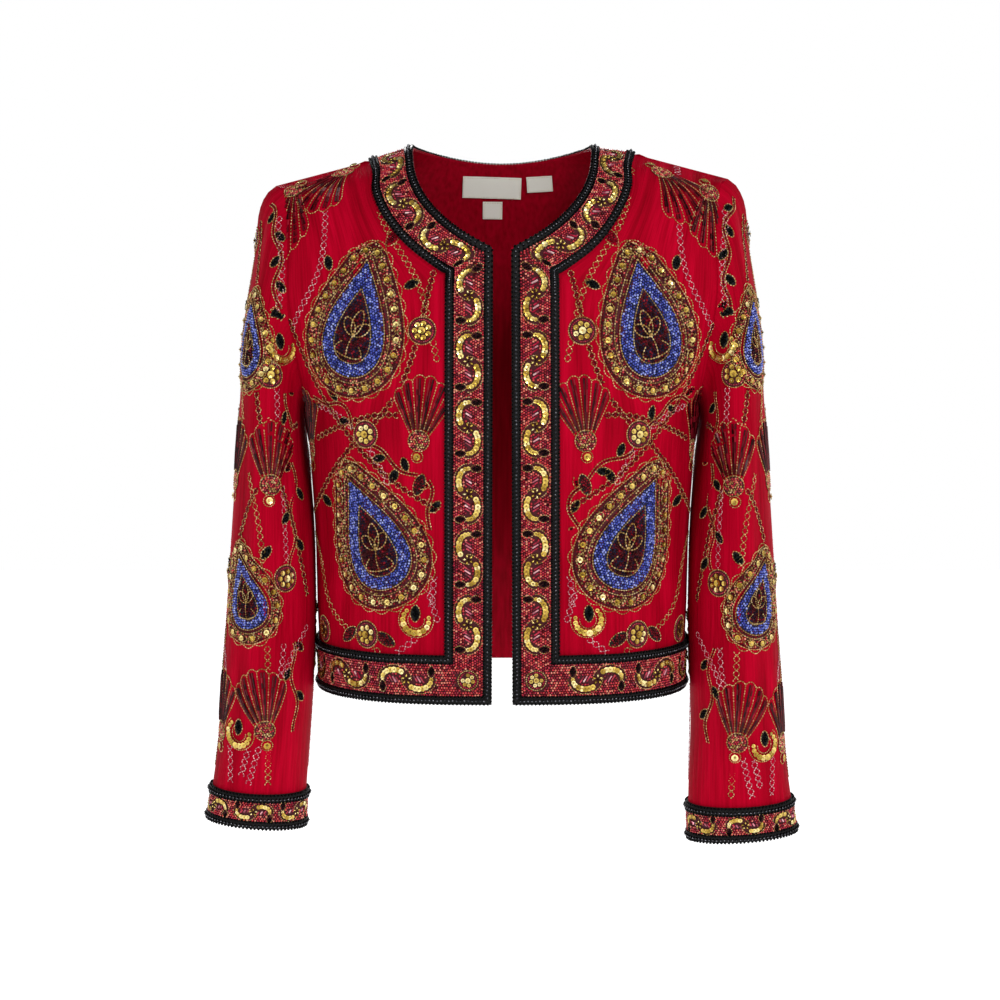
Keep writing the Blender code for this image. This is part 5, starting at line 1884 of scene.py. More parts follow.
def boteh_chart(height: float = 106.0, width: float = 68.0) -> Chart:
    """Large paisley: a studded gold and wine rim, a blue ring and a dark middle with a gold flower."""
    chart = Chart()
    outline = boteh_outline(height, width, width * 0.26)
    blue, rim = width * 0.17, width * 0.27
    first, stud_depth = rim * 0.27, rim * 0.62
    chart.edge = inset(outline, -rim - 3.5)
    # Dark wine and night-blue backings: painted shade in the gaps between the beads.
    chart.ground(inset(outline, -rim + 0.6)[:-1], Finish.WINE_SHADE_BACKING)
    chart.ground(inset(outline, 0.5)[:-1], Finish.NIGHT_SHADE_BACKING)
    chart.line(scalloped(outline, rim + 0.4, 15.0, 3.2), Finish.GOLD, 1.3, 2.5)
    lines = ((rim, Finish.GOLD, 0.2), (rim - 1.5, Finish.BURGUNDY, 0.2), (first, Finish.GOLD, 0.4),
             (1.5, Finish.BURGUNDY, 0.2), (0.2, Finish.GOLD, 0.4))
    for depth, finish, lift in lines:
        chart.line(inset(outline, -depth), finish, 1.3, 2.6, lift)
    outer = {Finish.GOLD: 0.30, Finish.BURGUNDY: 0.45, Finish.CORAL: 0.25}
    chart.area(outline, -rim + 2.4, -first - 1.2, outer, 2.6, 2.3)
    inner = {Finish.GOLD: 0.34, Finish.BURGUNDY: 0.26, Finish.CORAL: 0.40}
    chart.area(outline, -first + 1.1, -2.4, inner, 2.3, 2.1)
    studs, turns = walk(inset(outline, -stud_depth), 14.0)
    frame_leaf = leaf_outline(11.5, 7.0, 20) - (0, 5.75)
    for stud, turn in zip(studs, turns):
        almond = turned(frame_leaf, turn - math.pi / 2) + stud
        chart.line(closed(almond), Finish.GOLD, 1.15, 2.3, 0.8)
    chart.sequins(studs, 5.4, 1.3, 1.6)
    chart.area(outline, 1.2, blue, {Finish.BLUE: 1.0}, 2.55, 2.5, 0.3)
    chart.line(inset(outline, blue + 1.1), Finish.GOLD, 1.3, 2.5, 0.4)
    chart.area(outline, blue + 2.4, ALL_IN, {Finish.WINE: 0.7, Finish.BURGUNDY: 0.3}, 2.8, 2.7, 0.2)
    chart.add(flower_lines(), (-1.5, -height * 0.19), scale=width / 54)
    around = inset(outline, -rim - 6.0)
    for place, side in ((0.14, -1), (0.86, 1)):
        point = spaced(around, np.array([place * run_of(around)[-1]]))[0]
        chart.add(leaf_chart(14, 7.5), tuple(point), side * 40)
    return chart


def flower_lines() -> Chart:
    """Flower drawn in gold lines: three petals on a stem with two curled leaves."""
    chart = Chart()
    lines = []
    for turn in (-42, 0, 42):
        petal = closed(leaf_outline(19.0 - abs(turn) / 9, 8.0))
        lines.append(turned(petal, math.radians(-turn)) + (0, 4))
    t = np.linspace(0, 1, 20)
    lines.append(np.column_stack([1.2 * np.sin(3 * t), 4 - 17 * t]))
    for side in (-1, 1):
        lines.append(np.column_stack([side * 11 * np.sin(2.5 * t), -12 + 10 * t * t]))
    for path in lines:
        chart.line(path, Finish.GOLD, 1.25, 2.2, 1.6)
    return chart


def rope_chart(length: float, strand: Finish, core: Finish | None, wave: float = 14.0,
               sway: float = 2.7) -> Chart:
    """Twisted rope: two fine strands that cross, round a dark core where it has one."""
    chart = Chart()
    t = np.arange(0, length, 0.7)
    for sign in (-1, 1):
        sides = sign * sway * np.sin(2 * np.pi * t / wave)
        chart.line(np.column_stack([t, sides]), strand, 1.15, 2.5)
        if core:
            chart.line(np.column_stack([t, sides * 0.35]), core, 1.7, 2.8)
    return chart


def vine_chart(length: float, wave: float = 52.0, sway: float = 3.5, step: float = 24.0) -> Chart:
    """Wandering stem of dark glass edged with gold, with small black leaves on both sides."""
    chart = Chart()
    t = np.linspace(0, length, max(20, int(length)))

    def sway_at(along: float | np.ndarray) -> float | np.ndarray:
        """How far the stem sways to its side."""
        return sway * np.sin(2 * np.pi * along / wave)

    chart.line(np.column_stack([t, sway_at(t)]), Finish.BURGUNDY, 1.8, 2.6)
    for off in (1.6, -1.6):
        chart.line(np.column_stack([t, sway_at(t) + off]), Finish.GOLD, 1.15, 2.6)
    for n in range(int((length - 8) // step)):
        place = 14 + n * step
        side = 1 if n % 2 else -1
        at = (place, sway_at(place) + side * 2.2)
        chart.add(leaf_chart(12.5, 6.8), at, -52 if side > 0 else -128)
    return chart


def scroll_distance(u: np.ndarray, v: np.ndarray, radius: float) -> np.ndarray:
    """Distance to the middle line of an S made of two half circles."""
    ends = np.minimum(np.hypot(u + 2 * radius, v), np.hypot(u, v))
    left = np.where(v <= 0, np.abs(np.hypot(u + radius, v) - radius), ends)
    ends = np.minimum(np.hypot(u - 2 * radius, v), np.hypot(u, v))
    right = np.where(v >= 0, np.abs(np.hypot(u - radius, v) - radius), ends)
    return np.minimum(left, right)


@dataclass(frozen=True)
class Scroll:
    """The band's repeat: an S of two sequinned hooks with a bud at each end and a flower between."""

    radius: float
    sequin: float
    repeat: float
    stretch: float = 1.34

    def chart(self) -> Chart:
        """Lays out one repeat about its middle."""
        chart = Chart()
        r, size, long = self.radius, self.sequin, self.radius * self.stretch
        count = max(6, round(math.pi * (r + long) / 2 / (size * 0.52)))
        for sign in (-1, 1):
            turns = np.linspace(0, math.pi, count) + (math.pi if sign < 0 else 0)
            arc = np.column_stack([sign * long + long * np.cos(turns), r * np.sin(turns)])
            away = np.hypot(arc[:, 0], arc[:, 1]) > size * 1.05
            sizes = size * (0.70 + 0.30 * np.abs(np.sin(turns)))
            for i in np.flatnonzero(away):
                chart.sequins(arc[i], sizes[i], 1.3 + 0.4 * (i % 2), 1.1, turn=turns[i])
            wide = np.linspace(turns[0] - 0.1, turns[-1] + 0.1, 40)
            off = size * 0.80
            outer = np.column_stack([sign * long + (long + off) * np.cos(wide), (r + off) * np.sin(wide)])
            chart.line(outer, Finish.GOLD, 1.15, 2.1, 1.3)
            bud = (sign * 2 * long, sign * -size * 0.45)
            chart.add(self.bud(), bud, 0 if sign < 0 else 180)
            self.rows(chart, sign)
        self.flower(chart)
        return chart

    def bud(self) -> Chart:
        """Black bud with a thin gold edge."""
        chart = Chart()
        outline = leaf_outline(self.sequin * 1.7, self.sequin * 1.0)
        chart.area(outline, 0.4, ALL_IN, {Finish.JET: 1.0}, 1.9, 2.0, 0.9)
        chart.line(inset(outline, -0.7), Finish.GOLD, 1.0, 2.0, 1.2)
        return chart

    def rows(self, chart: Chart, sign: int) -> None:
        """Slanting rows of rose bugles inside a hook."""
        r, long = self.radius, self.radius * self.stretch
        for n in (-1, 0, 1):
            middle = np.array([sign * long + n * 3.2, sign * -r * 0.05 + n * 0.6])
            path = middle + np.array([-1, 1])[:, None] * on_circle(1.0) * r * 0.36
            chart.line(path, (Finish.PINK, Finish.ROSE)[n % 2], 1.6, 3.2, 0.9, Shape.BUGLE)

    def flower(self, chart: Chart) -> None:
        """Gold flower of five petals at the middle."""
        size = self.sequin
        turns = np.radians(18 + 72 * np.arange(5))
        petals = size * 0.60 * on_circle(turns)
        chart.put(Shape.SEED, petals, turns, size * 0.80, size * 0.44, Finish.SEQUIN, 1.4)
        chart.put(Shape.SEED, (0, 0), 0.0, size * 0.30, size * 0.30, Finish.JET, 2.0)

    def field(self, u: np.ndarray, v: np.ndarray) -> tuple[np.ndarray, np.ndarray]:
        """Which beads of the field stay round the repeat, and each one's step away from it."""
        r, size, long = self.radius, self.sequin, self.radius * self.stretch
        away = scroll_distance(u / self.stretch, v, r)
        stay = (away > size * 0.62) & (np.hypot(u, v) > size * 1.08)
        for sign in (-1, 1):
            du, dv = u - sign * 2 * long, v + sign * size * 0.45 + sign * size * 0.85
            stay &= np.hypot(du / (size * 0.62), dv / (size * 0.95)) > 1
            stay &= np.hypot((u - sign * long) / 5.6, v / (r * 0.42)) > 1
        return stay, (away / 2.0).astype(int)


FRONT_CREASES = (
    Fold(0.190, -0.070, -0.200, 0.006, 0.0016, 0.010),
    Fold(0.176, -0.110, -0.260, 0.005, -0.0014, -0.008),
    Fold(0.140, -0.225, -0.330, 0.007, 0.0012, 0.012),
    Fold(0.092, -0.400, -0.470, 0.007, 0.0014, -0.006),
    Fold(0.126, -0.410, -0.468, 0.006, -0.0013, 0.005),
    Fold(0.158, -0.390, -0.466, 0.007, 0.0015, 0.004),
)
BACK_CREASES = (
    Fold(0.186, -0.070, -0.220, 0.006, 0.0016, 0.010),
    Fold(0.168, -0.120, -0.270, 0.006, -0.0014, -0.008),
    Fold(0.030, -0.380, -0.470, 0.008, 0.0014, 0.006),
    Fold(0.084, -0.395, -0.468, 0.007, -0.0013, -0.005),
    Fold(0.132, -0.370, -0.466, 0.008, 0.0015, 0.006),
)
SLEEVE_CREASES = (
    Fold(8, -0.036, -0.085, 3.5, 0.0014),
    Fold(24, -0.038, -0.096, 4.0, -0.0013),
    Fold(40, -0.040, -0.120, 4.0, 0.0015),
    Fold(58, -0.060, -0.140, 4.5, -0.0014),
    Fold(338, -0.038, -0.096, 4.0, 0.0014),
    Fold(318, -0.040, -0.120, 4.5, -0.0013),
    Fold(100, -0.250, -0.420, 5.5, 0.0018, 16),
    Fold(134, -0.280, -0.450, 6.0, 0.0016, -14),
    Fold(70, -0.380, -0.520, 5.0, -0.0014, -10),
    Fold(110, -0.450, -0.600, 6.0, 0.0016, 8),
    Fold(38, -0.430, -0.590, 5.5, 0.0012, 6),
    Fold(216, -0.300, -0.470, 6.0, 0.0018, 14),
    Fold(262, -0.360, -0.560, 6.0, -0.0014, -12),
    Fold(306, -0.420, -0.600, 5.5, 0.0014, 8),
)


@dataclass
class Shell:
    """The five cut pieces of crepe and the back's satin lining."""

    thickness: float = 1.2 * MM
    lining_thickness: float = 0.8 * MM
    lining_gap: float = 0.6 * MM
    cloths: dict[str, Cloth] = field(default_factory=dict)

    def build(self, book: MaterialBook) -> None:
        """Makes the shells, then the lining."""
        self.cloths = {
            "front_left": front_cloth(False, SHELL_SPACING),
            "front_right": front_cloth(True, SHELL_SPACING),
            "back": back_cloth(SHELL_SPACING),
            "sleeve_left": sleeve_cloth(False, SHELL_SPACING),
            "sleeve_right": sleeve_cloth(True, SHELL_SPACING),
        }
        for name, cloth in self.cloths.items():
            self.crease(name, cloth)
            piece = cloth_shell(f"crepe_{name}", cloth, self.thickness, book.silk, book.lining)
            place_piece(piece, [name])
            self.hang(cloth)
        self.add_lining(book)

    def hang(self, cloth: Cloth) -> None:
        """Works out the flat cut and area of a piece, and keeps neither."""
        flat, area = cloth.cut()

    def crease(self, name: str, cloth: Cloth) -> None:
        """Presses the small creases into one piece, none of them at its seams and bands."""
        rows, columns = cloth.rows[:, None], cloth.columns[None]
        p = PATTERN
        if name.startswith("sleeve"):
            near = soft_step(0, 1.5, rows) * (1 - soft_step(p.cuff_top_row - 1.5, p.cuff_top_row, rows))
            cloth.crease(SLEEVE_CREASES, 360 * columns / p.turns, near * np.ones_like(columns))
            return
        out = np.abs(columns)
        first = 0 if name == "back" else p.band_columns
        low, high = p.band_columns, p.top_row
        near = soft_step(low, low + 2, rows) * (1 - soft_step(p.columns - 1, p.columns, out))
        near = near * (1 - soft_step(high - 2, high, rows)) * soft_step(first - 1, first + 1, out)
        folds = BACK_CREASES if name == "back" else FRONT_CREASES
        cloth.crease(folds, np.nan_to_num(np.abs(cloth.points[..., 0])), near)

    def add_lining(self, book: MaterialBook) -> None:
        """Satin inside the back, from above the hem to the neckline."""
        cloth = back_cloth(LINING_SPACING)

        def lined(row: np.ndarray, column: np.ndarray) -> np.ndarray:
            """Cells that the lining covers."""
            low = PATTERN.underarm_row - 1
            return (row >= 1) & ~((np.abs(column) >= PATTERN.columns - 1) & (row >= low))

        piece = cloth_shell("satin_lining_back", cloth, self.lining_thickness, book.lining, book.lining,
                            PATTERN.wall + self.lining_gap, lined)
        place_piece(piece, ["lining_back"])
        self.hang(cloth)


@dataclass
class Bands:
    """Beaded bands along the front, neck, hems and cuffs, each with an edging on both sides.

    Sizes are in millimetres. Cord lines and cut bead rows are shares of an edging's width.
    """

    cloths: dict[str, Cloth]
    net_lines: int = 6
    net_top: float = 0.9
    net_under: float = 0.3
    field_pitch: float = 2.45
    field_bead: float = 2.35
    field_lift: float = 0.75
    field_margin: float = 0.7
    corner_rosette: float = 9.0
    corner_room: float = 10.4
    cord_lines: tuple[float, ...] = (0.0, 0.1, 0.3, 0.5, 0.7, 0.9, 1.0)
    cord_under: float = 0.1
    cut_rows: tuple[float, ...] = (0.10, 0.90, 0.50)
    cut_bead: float = 3.4
    cut_pitch: float = 3.5
    cut_sunk: float = 1.2
    legs: dict[str, list[Leg]] = field(default_factory=dict)

    def __post_init__(self) -> None:
        """Works out each band's stretches."""
        p = PATTERN
        hem, cuff_end, neck = p.hem_band, p.cuff_top_row + p.band_columns, p.top_row + p.band_columns
        for side in ("left", "right"):
            front, sleeve = self.cloths[f"front_{side}"], self.cloths[f"sleeve_{side}"]
            self.legs[f"front_{side}"] = [
                Leg(front, p.front_band, 0, True, 0, p.top_row, mitre=hem / p.front_band),
                Leg(front, hem, 0, False, 0, p.columns, mitre=p.front_band / hem)]
            self.legs[f"cuff_{side}"] = [Leg(sleeve, p.cuff_band, cuff_end, False, 0, p.turns, inward=-1)]
        back = self.cloths["back"]
        self.legs["back_hem"] = [Leg(back, hem, 0, False, -p.columns, p.columns)]
        self.legs["back_neck"] = [
            Leg(back, p.front_band, neck, False, -p.band_columns, p.band_columns, inward=-1)]

    def build(self, book: MaterialBook) -> None:
        """Makes each field and edging."""
        for name, legs in self.legs.items():
            first, second = ("lower", "upper") if name.startswith("cuff") else ("outer", "inner")
            self.add_field(name, legs, book)
            self.add_edging(f"edging_{first}_{name}", legs, 0.0, book)
            self.add_edging(f"edging_{second}_{name}", legs, None, book)

    def add_field(self, name: str, legs: list[Leg], book: MaterialBook) -> None:
        """Field of seed beads on a dark wine backing, which paints shade into the gaps between the beads,
        with the band's scrolls.
        """
        pile = Pile(f"bead_field_{name}")
        for leg in legs:
            edge, width = PATTERN.edging / MM, (leg.band - 2 * PATTERN.edging) / MM
            lines = edge + width * np.linspace(0, 1, self.net_lines)
            # The net strip's dark wine colour is painted shade between the field's beads.
            add_strip(pile, leg, lines, np.full(self.net_lines, self.net_top), self.net_under,
                      Finish.WINE_SHADE_BACKING)
            scroll = CUFF_SCROLL if name.startswith("cuff") else BAND_SCROLL
            middle = leg.band / MM / 2
            centres = self.centres(leg, scroll)
            chart, repeat = Chart(), scroll.chart()
            for centre in centres:
                chart.add(repeat, (centre, middle))
            self.fill_field(chart, leg, scroll, centres, edge, width)
            if leg.mitre:
                chart.add(rosette_chart(self.corner_rosette, self.net_top), (middle * leg.mitre, middle))
            chart.sew(pile, leg)
        place_piece(pile.build(book), [f"border_{name}"])

    def centres(self, leg: Leg, scroll: Scroll) -> np.ndarray:
        """Middles of the repeats along a stretch."""
        start = leg.band / MM * 1.02 if leg.mitre else 0.0
        count = max(1, round((leg.length - start) / scroll.repeat))
        return start + (leg.length - start) * (np.arange(count) + 0.5) / count

    def fill_field(self, chart: Chart, leg: Leg, scroll: Scroll, centres: np.ndarray, edge: float,
                   width: float) -> None:
        """Rows of seed beads that leave room for the scrolls."""
        pitch, margin, middle = self.field_pitch, self.field_margin, leg.band / MM / 2
        count = round((width - 1.0) / (pitch * 0.92))
        u, v = [], []
        for n in range(count + 1):
            line = np.arange((n % 2) * pitch / 2, leg.length, pitch)
            u.append(line)
            v.append(np.full(len(line), edge + margin + (width - 2 * margin) * n / count))
        u, v = np.concatenate(u), np.concatenate(v)
        u = u + random.uniform(-0.22, 0.22, len(u))
        v = v + random.uniform(-0.18, 0.18, len(v))
        nearest = centres[np.abs(u[:, None] - centres).argmin(axis=1)]
        stay, step = scroll.field(u - nearest, v - middle)
        if leg.mitre:
            stay &= np.hypot(u - middle, v - middle) > self.corner_room
        u, v, step = u[stay], v[stay], step[stay]
        draw = random.random(len(u))
        rose = np.where(step % 2 == 1, 0.42, 0.12)
        near_edge = np.minimum(v - edge, edge + width - v) < 2.4
        numbers = np.where(draw < rose, number_of(Finish.ROSE), number_of(Finish.CORAL))
        numbers = np.where((draw > 0.95) & ~near_edge, number_of(Finish.BURGUNDY), numbers)
        turns = random.uniform(0, np.pi, len(u))
        chart.put(Shape.SEED, np.column_stack([u, v]), turns, self.field_bead, self.field_bead, numbers,
                  self.field_lift)

    def add_edging(self, node: str, legs: list[Leg], start: float | None, book: MaterialBook) -> None:
        """Round cord covered in rows of cut black beads, with small grey beads on the middle row as painted
        glints.
        """
        pile = Pile(f"beaded_{node}")
        width, bead, pitch = PATTERN.edging / MM, self.cut_bead, self.cut_pitch
        shares = np.array(self.cord_lines)
        for leg in legs:
            low = leg.band / MM - width if start is None else start
            add_strip(pile, leg, low + width * shares, edging_height(shares), self.cord_under,
                      Finish.BLACK_CORD)
            chart = Chart()
            for n, share in enumerate(self.cut_rows):
                u = np.arange((n % 2) * pitch / 2, leg.length, pitch)
                v = np.full(len(u), low + width * share)
                lift = float(edging_height(np.array(share))) - self.cut_sunk
                turns = random.uniform(0, np.pi, len(u))
                chart.put(Shape.FACET, np.column_stack([u, v]), turns, bead * 0.96, bead * 0.92,
                          Finish.JET, lift)
            # Small grey beads along the middle row: painted glints standing in for the jet beads'
            # highlights.
            glints = np.column_stack([u, v + random.uniform(-0.3, 0.3, len(u))])
            chart.put(Shape.SEED, glints, 0.0, 1.25, 1.1, Finish.PAINTED_GLINT, lift + bead * 0.80)
            chart.sew(pile, leg)
        place_piece(pile.build(book), [node])


BAND_SCROLL = Scroll(8.6, 5.6, 57.0)
CUFF_SCROLL = Scroll(5.7, 4.4, 42.0)


class Embroidery:
    """Beadwork scattered over the crepe inside the bands."""

    def __init__(self, cloths: dict[str, Cloth]) -> None:
        """Finds the cells of each piece that may be sewn on."""
        p = PATTERN
        band, cuff = p.band_columns, p.cuff_top_row
        self.cloths = cloths
        keeps = {"back": lambda row, column: (row >= band) & (row < p.top_row)}
        for side in ("left", "right"):
            keeps[f"front_{side}"] = lambda row, column: (row >= band) & (column >= band)
            keeps[f"sleeve_{side}"] = lambda row, column: row < cuff
        self.trees = {name: cloths[name].tree(keep) for name, keep in keeps.items()}
        self.charts = {
            Motif.BOTEH: boteh_chart(),
            Motif.SMALL_BOTEH: boteh_chart(70.0, 50.0),
            Motif.FAN: fan_chart(),
            Motif.ROSETTE: rosette_chart(),
            Motif.CRESCENT: crescent_chart(),
            Motif.LEAF: leaf_chart(20, 10, Finish.BURGUNDY),
        }

    def drop(self, name: str, x: float, z: float) -> tuple[np.ndarray, np.ndarray] | None:
        """Point and outward direction of a body piece at a place of the front or back view."""
        side = -1.0 if name.startswith("front") else 1.0
        hit, normal, _, _ = self.trees[name].ray_cast(Vector((x, side * 0.5, z)), Vector((0, -side, 0)))
        return None if hit is None else (np.array(hit), np.array(normal))

    def build(self, book: MaterialBook) -> None:
        """Makes the beadwork of each piece."""
        for name, cloth in self.cloths.items():
            pile = Pile(f"embroidery_{name}")
            if name.startswith("sleeve"):
                self.dress_sleeve(pile, name, cloth)
            else:
                self.dress_body(pile, name)
            place_piece(pile.build(book))

    def dress_body(self, pile: Pile, name: str) -> None:
        """Sews a front's or the back's motifs and vines, charted in the front or back view."""
        mirrors = (1, -1) if name == "back" else ((1,) if name.endswith("left") else (-1,))
        placed, vines = (BACK_MOTIFS, BACK_VINES) if name == "back" else (FRONT_MOTIFS, FRONT_VINES)
        flip = -1 if name == "back" else 1
        spots = []
        for mirror in mirrors:
            for motif in placed:
                if mirror < 0 and name == "back" and motif.x == 0:
                    continue
                found = self.drop(name, mirror * motif.x * MM, motif.z * MM)
                if found:
                    spots.append((motif, Spot(self.trees[name], *found, motif.turn, mirror * flip < 0)))
        covers = [(spot, self.charts[motif.kind].edge) for motif, spot in spots]
        for mirror in mirrors:
            for vine in vines:
                self.sew_vine(pile, name, vine, mirror, covers)
        for motif, spot in spots:
            self.charts[motif.kind].sew(pile, spot)

    def sew_vine(self, pile: Pile, name: str, vine: "Vine", mirror: int,
                 covers: Sequence[tuple[Spot, np.ndarray]]) -> None:
        """Sews one vine or rope along its own curve on a body piece, behind the motifs."""
        curve = fine_axis(np.array(vine.points, float), 4.0)[0] * MM
        found = [self.drop(name, mirror * x, z) for x, z in curve]
        run = [f for f in found if f]
        if len(run) > 4:
            trail = Trail(np.array([f[0] for f in run]), np.array([f[1] for f in run]), covers)
            vine.chart(trail.length).sew(pile, trail)

    def dress_sleeve(self, pile: Pile, name: str, cloth: Cloth) -> None:
        """Sews a sleeve's motifs and vines, charted by turn and row."""
        mirror = name.endswith("right")
        spots = []
        for motif in SLEEVE_MOTIFS:
            column = motif.x / 360 * PATTERN.turns
            spots.append((motif, Wrap(self.trees[name], cloth, motif.z, column, motif.turn, mirror)))
        covers = [(spot, self.charts[motif.kind].edge) for motif, spot in spots]
        for vine in SLEEVE_VINES:
            curve = fine_axis(np.array(vine.points, float), 4.0)[0]
            points, normals, _ = cloth.at(curve[:, 1], curve[:, 0] / 360 * PATTERN.turns)
            trail = Trail(points, normals, covers)
            vine.chart(trail.length).sew(pile, trail)
        for motif, spot in spots:
            self.charts[motif.kind].sew(pile, spot)


class Motif(Enum):
    """The designs that are scattered over the crepe."""

    BOTEH = "large paisley"
    SMALL_BOTEH = "small paisley"
    FAN = "palmette"
    ROSETTE = "rosette"
    CRESCENT = "crescent"
    LEAF = "leaf"


@dataclass(frozen=True)
class Placed:
    """One motif: x and height in millimetres on the body, turn in degrees and row on a sleeve."""

    kind: Motif
    x: float
    z: float
    turn: float = 0.0


class Line(Enum):
    """The lines that wander between the motifs."""

    VINE = "leafy vine"
    DARK_ROPE = "dark twisted rope"
    PALE_ROPE = "pale twisted rope"
    GOLD_ROPE = "gold twisted rope"


@dataclass(frozen=True)
class Vine:
    """One vine or rope through its points, which are written as a motif's place is."""

    kind: Line
    points: tuple[tuple[float, float], ...]

    def chart(self, length: float) -> Chart:
        """Its beads over a length."""
        if self.kind is Line.VINE:
            return vine_chart(length)
        if self.kind is Line.DARK_ROPE:
            return rope_chart(length, Finish.GOLD, Finish.BURGUNDY)
        return rope_chart(length, Finish.PINK if self.kind is Line.PALE_ROPE else Finish.GOLD, None)


FRONT_MOTIFS = (
    Placed(Motif.BOTEH, 118, -352, -12),
    Placed(Motif.BOTEH, 130, -158, 20),
    Placed(Motif.FAN, 76, -276, 6),
    Placed(Motif.FAN, 176, -290, -10),
    Placed(Motif.FAN, 190, -36, 174),
    Placed(Motif.FAN, 142, -20, 190),
    Placed(Motif.FAN, 188, -440, -8),
    Placed(Motif.ROSETTE, 124, -262),
    Placed(Motif.ROSETTE, 166, -448),
    Placed(Motif.ROSETTE, 72, -168),
    Placed(Motif.ROSETTE, 124, -446),
    Placed(Motif.CRESCENT, 78, -430, 20),
    Placed(Motif.CRESCENT, 200, -206, -30),
    Placed(Motif.LEAF, 104, -92, 30),
    Placed(Motif.LEAF, 98, -454, -60),
    Placed(Motif.LEAF, 146, -454, 50),
    Placed(Motif.LEAF, 78, -316, 20),
)
FRONT_VINES = (
    Vine(Line.VINE, ((62, -392), (68, -352), (64, -312), (92, -290), (126, -268), (150, -236),
                     (186, -232))),
    Vine(Line.DARK_ROPE, ((204, -140), (160, -236), (104, -300), (58, -330))),
    Vine(Line.DARK_ROPE, ((60, -110), (96, -226), (150, -290), (196, -380))),
    Vine(Line.PALE_ROPE, ((164, -14), (166, -110), (196, -180), (188, -260))),
    Vine(Line.PALE_ROPE, ((58, -432), (92, -330), (144, -250), (206, -226))),
    Vine(Line.GOLD_ROPE, ((108, -464), (154, -432), (176, -360), (206, -320))),
    Vine(Line.GOLD_ROPE, ((58, -196), (74, -130), (112, -60), (120, -20))),
    Vine(Line.DARK_ROPE, ((58, -250), (110, -244), (160, -262), (206, -300))),
    Vine(Line.PALE_ROPE, ((60, -380), (72, -440), (100, -464))),
)
BACK_MOTIFS = (
    Placed(Motif.BOTEH, 100, -352, -10),
    Placed(Motif.BOTEH, 110, -160, 24),
    Placed(Motif.FAN, 0, -276, 0),
    Placed(Motif.FAN, 0, -130, 0),
    Placed(Motif.FAN, 50, -262, 22),
    Placed(Motif.FAN, 166, -284, -14),
    Placed(Motif.FAN, 176, -46, 174),
    Placed(Motif.FAN, 120, -30, 190),
    Placed(Motif.FAN, 0, -430, 0),
    Placed(Motif.FAN, 176, -440, -8),
    Placed(Motif.ROSETTE, 0, -302),
    Placed(Motif.ROSETTE, 0, -156),
    Placed(Motif.ROSETTE, 110, -256),
    Placed(Motif.ROSETTE, 44, -150),
    Placed(Motif.ROSETTE, 40, -300),
    Placed(Motif.ROSETTE, 124, -448),
    Placed(Motif.CRESCENT, 46, -436, -20),
    Placed(Motif.CRESCENT, 190, -200, -30),
    Placed(Motif.CRESCENT, 48, -94, 30),
    Placed(Motif.LEAF, 90, -452, -60),
    Placed(Motif.LEAF, 36, -200, 30),
)
BACK_VINES = (
    Vine(Line.VINE, ((24, -450), (34, -390), (24, -330), (60, -282), (100, -270), (140, -240),
                     (184, -220))),
    Vine(Line.DARK_ROPE, ((4, -96), (60, -210), (140, -290), (196, -400))),
    Vine(Line.DARK_ROPE, ((204, -130), (150, -240), (60, -380), (14, -460))),
    Vine(Line.PALE_ROPE, ((60, -50), (24, -190), (60, -320), (150, -440), (190, -462))),
    Vine(Line.PALE_ROPE, ((150, -30), (176, -140), (206, -220))),
    Vine(Line.GOLD_ROPE, ((10, -340), (56, -430), (110, -462))),
    Vine(Line.GOLD_ROPE, ((96, -24), (70, -110), (10, -210))),
    Vine(Line.DARK_ROPE, ((10, -236), (80, -236), (150, -262), (200, -300))),
)
SLEEVE_MOTIFS = (
    Placed(Motif.SMALL_BOTEH, 46, 5.6, 6),
    Placed(Motif.SMALL_BOTEH, 62, 12.4, -6),
    Placed(Motif.SMALL_BOTEH, 300, 9.6, -6),
    Placed(Motif.SMALL_BOTEH, 232, 14.0, 4),
    Placed(Motif.FAN, 94, 9.4, 8),
    Placed(Motif.FAN, 24, 9.8, 0),
    Placed(Motif.FAN, 28, 16.8, 0),
    Placed(Motif.FAN, 98, 16.6, -8),
    Placed(Motif.FAN, 318, 5.2, 0),
    Placed(Motif.FAN, 310, 16.0, 0),
    Placed(Motif.FAN, 238, 5.4, 0),
    Placed(Motif.ROSETTE, 92, 5.2),
    Placed(Motif.ROSETTE, 20, 12.0),
    Placed(Motif.ROSETTE, 116, 12.0),
    Placed(Motif.ROSETTE, 268, 12.4),
    Placed(Motif.CRESCENT, 104, 2.6, 12),
    Placed(Motif.ROSETTE, 4, 3.2),
    Placed(Motif.ROSETTE, 346, 12.6),
    Placed(Motif.CRESCENT, 350, 7.6, -10),
    Placed(Motif.CRESCENT, 62, 16.4, 30),
    Placed(Motif.CRESCENT, 250, 9.0, 10),
)
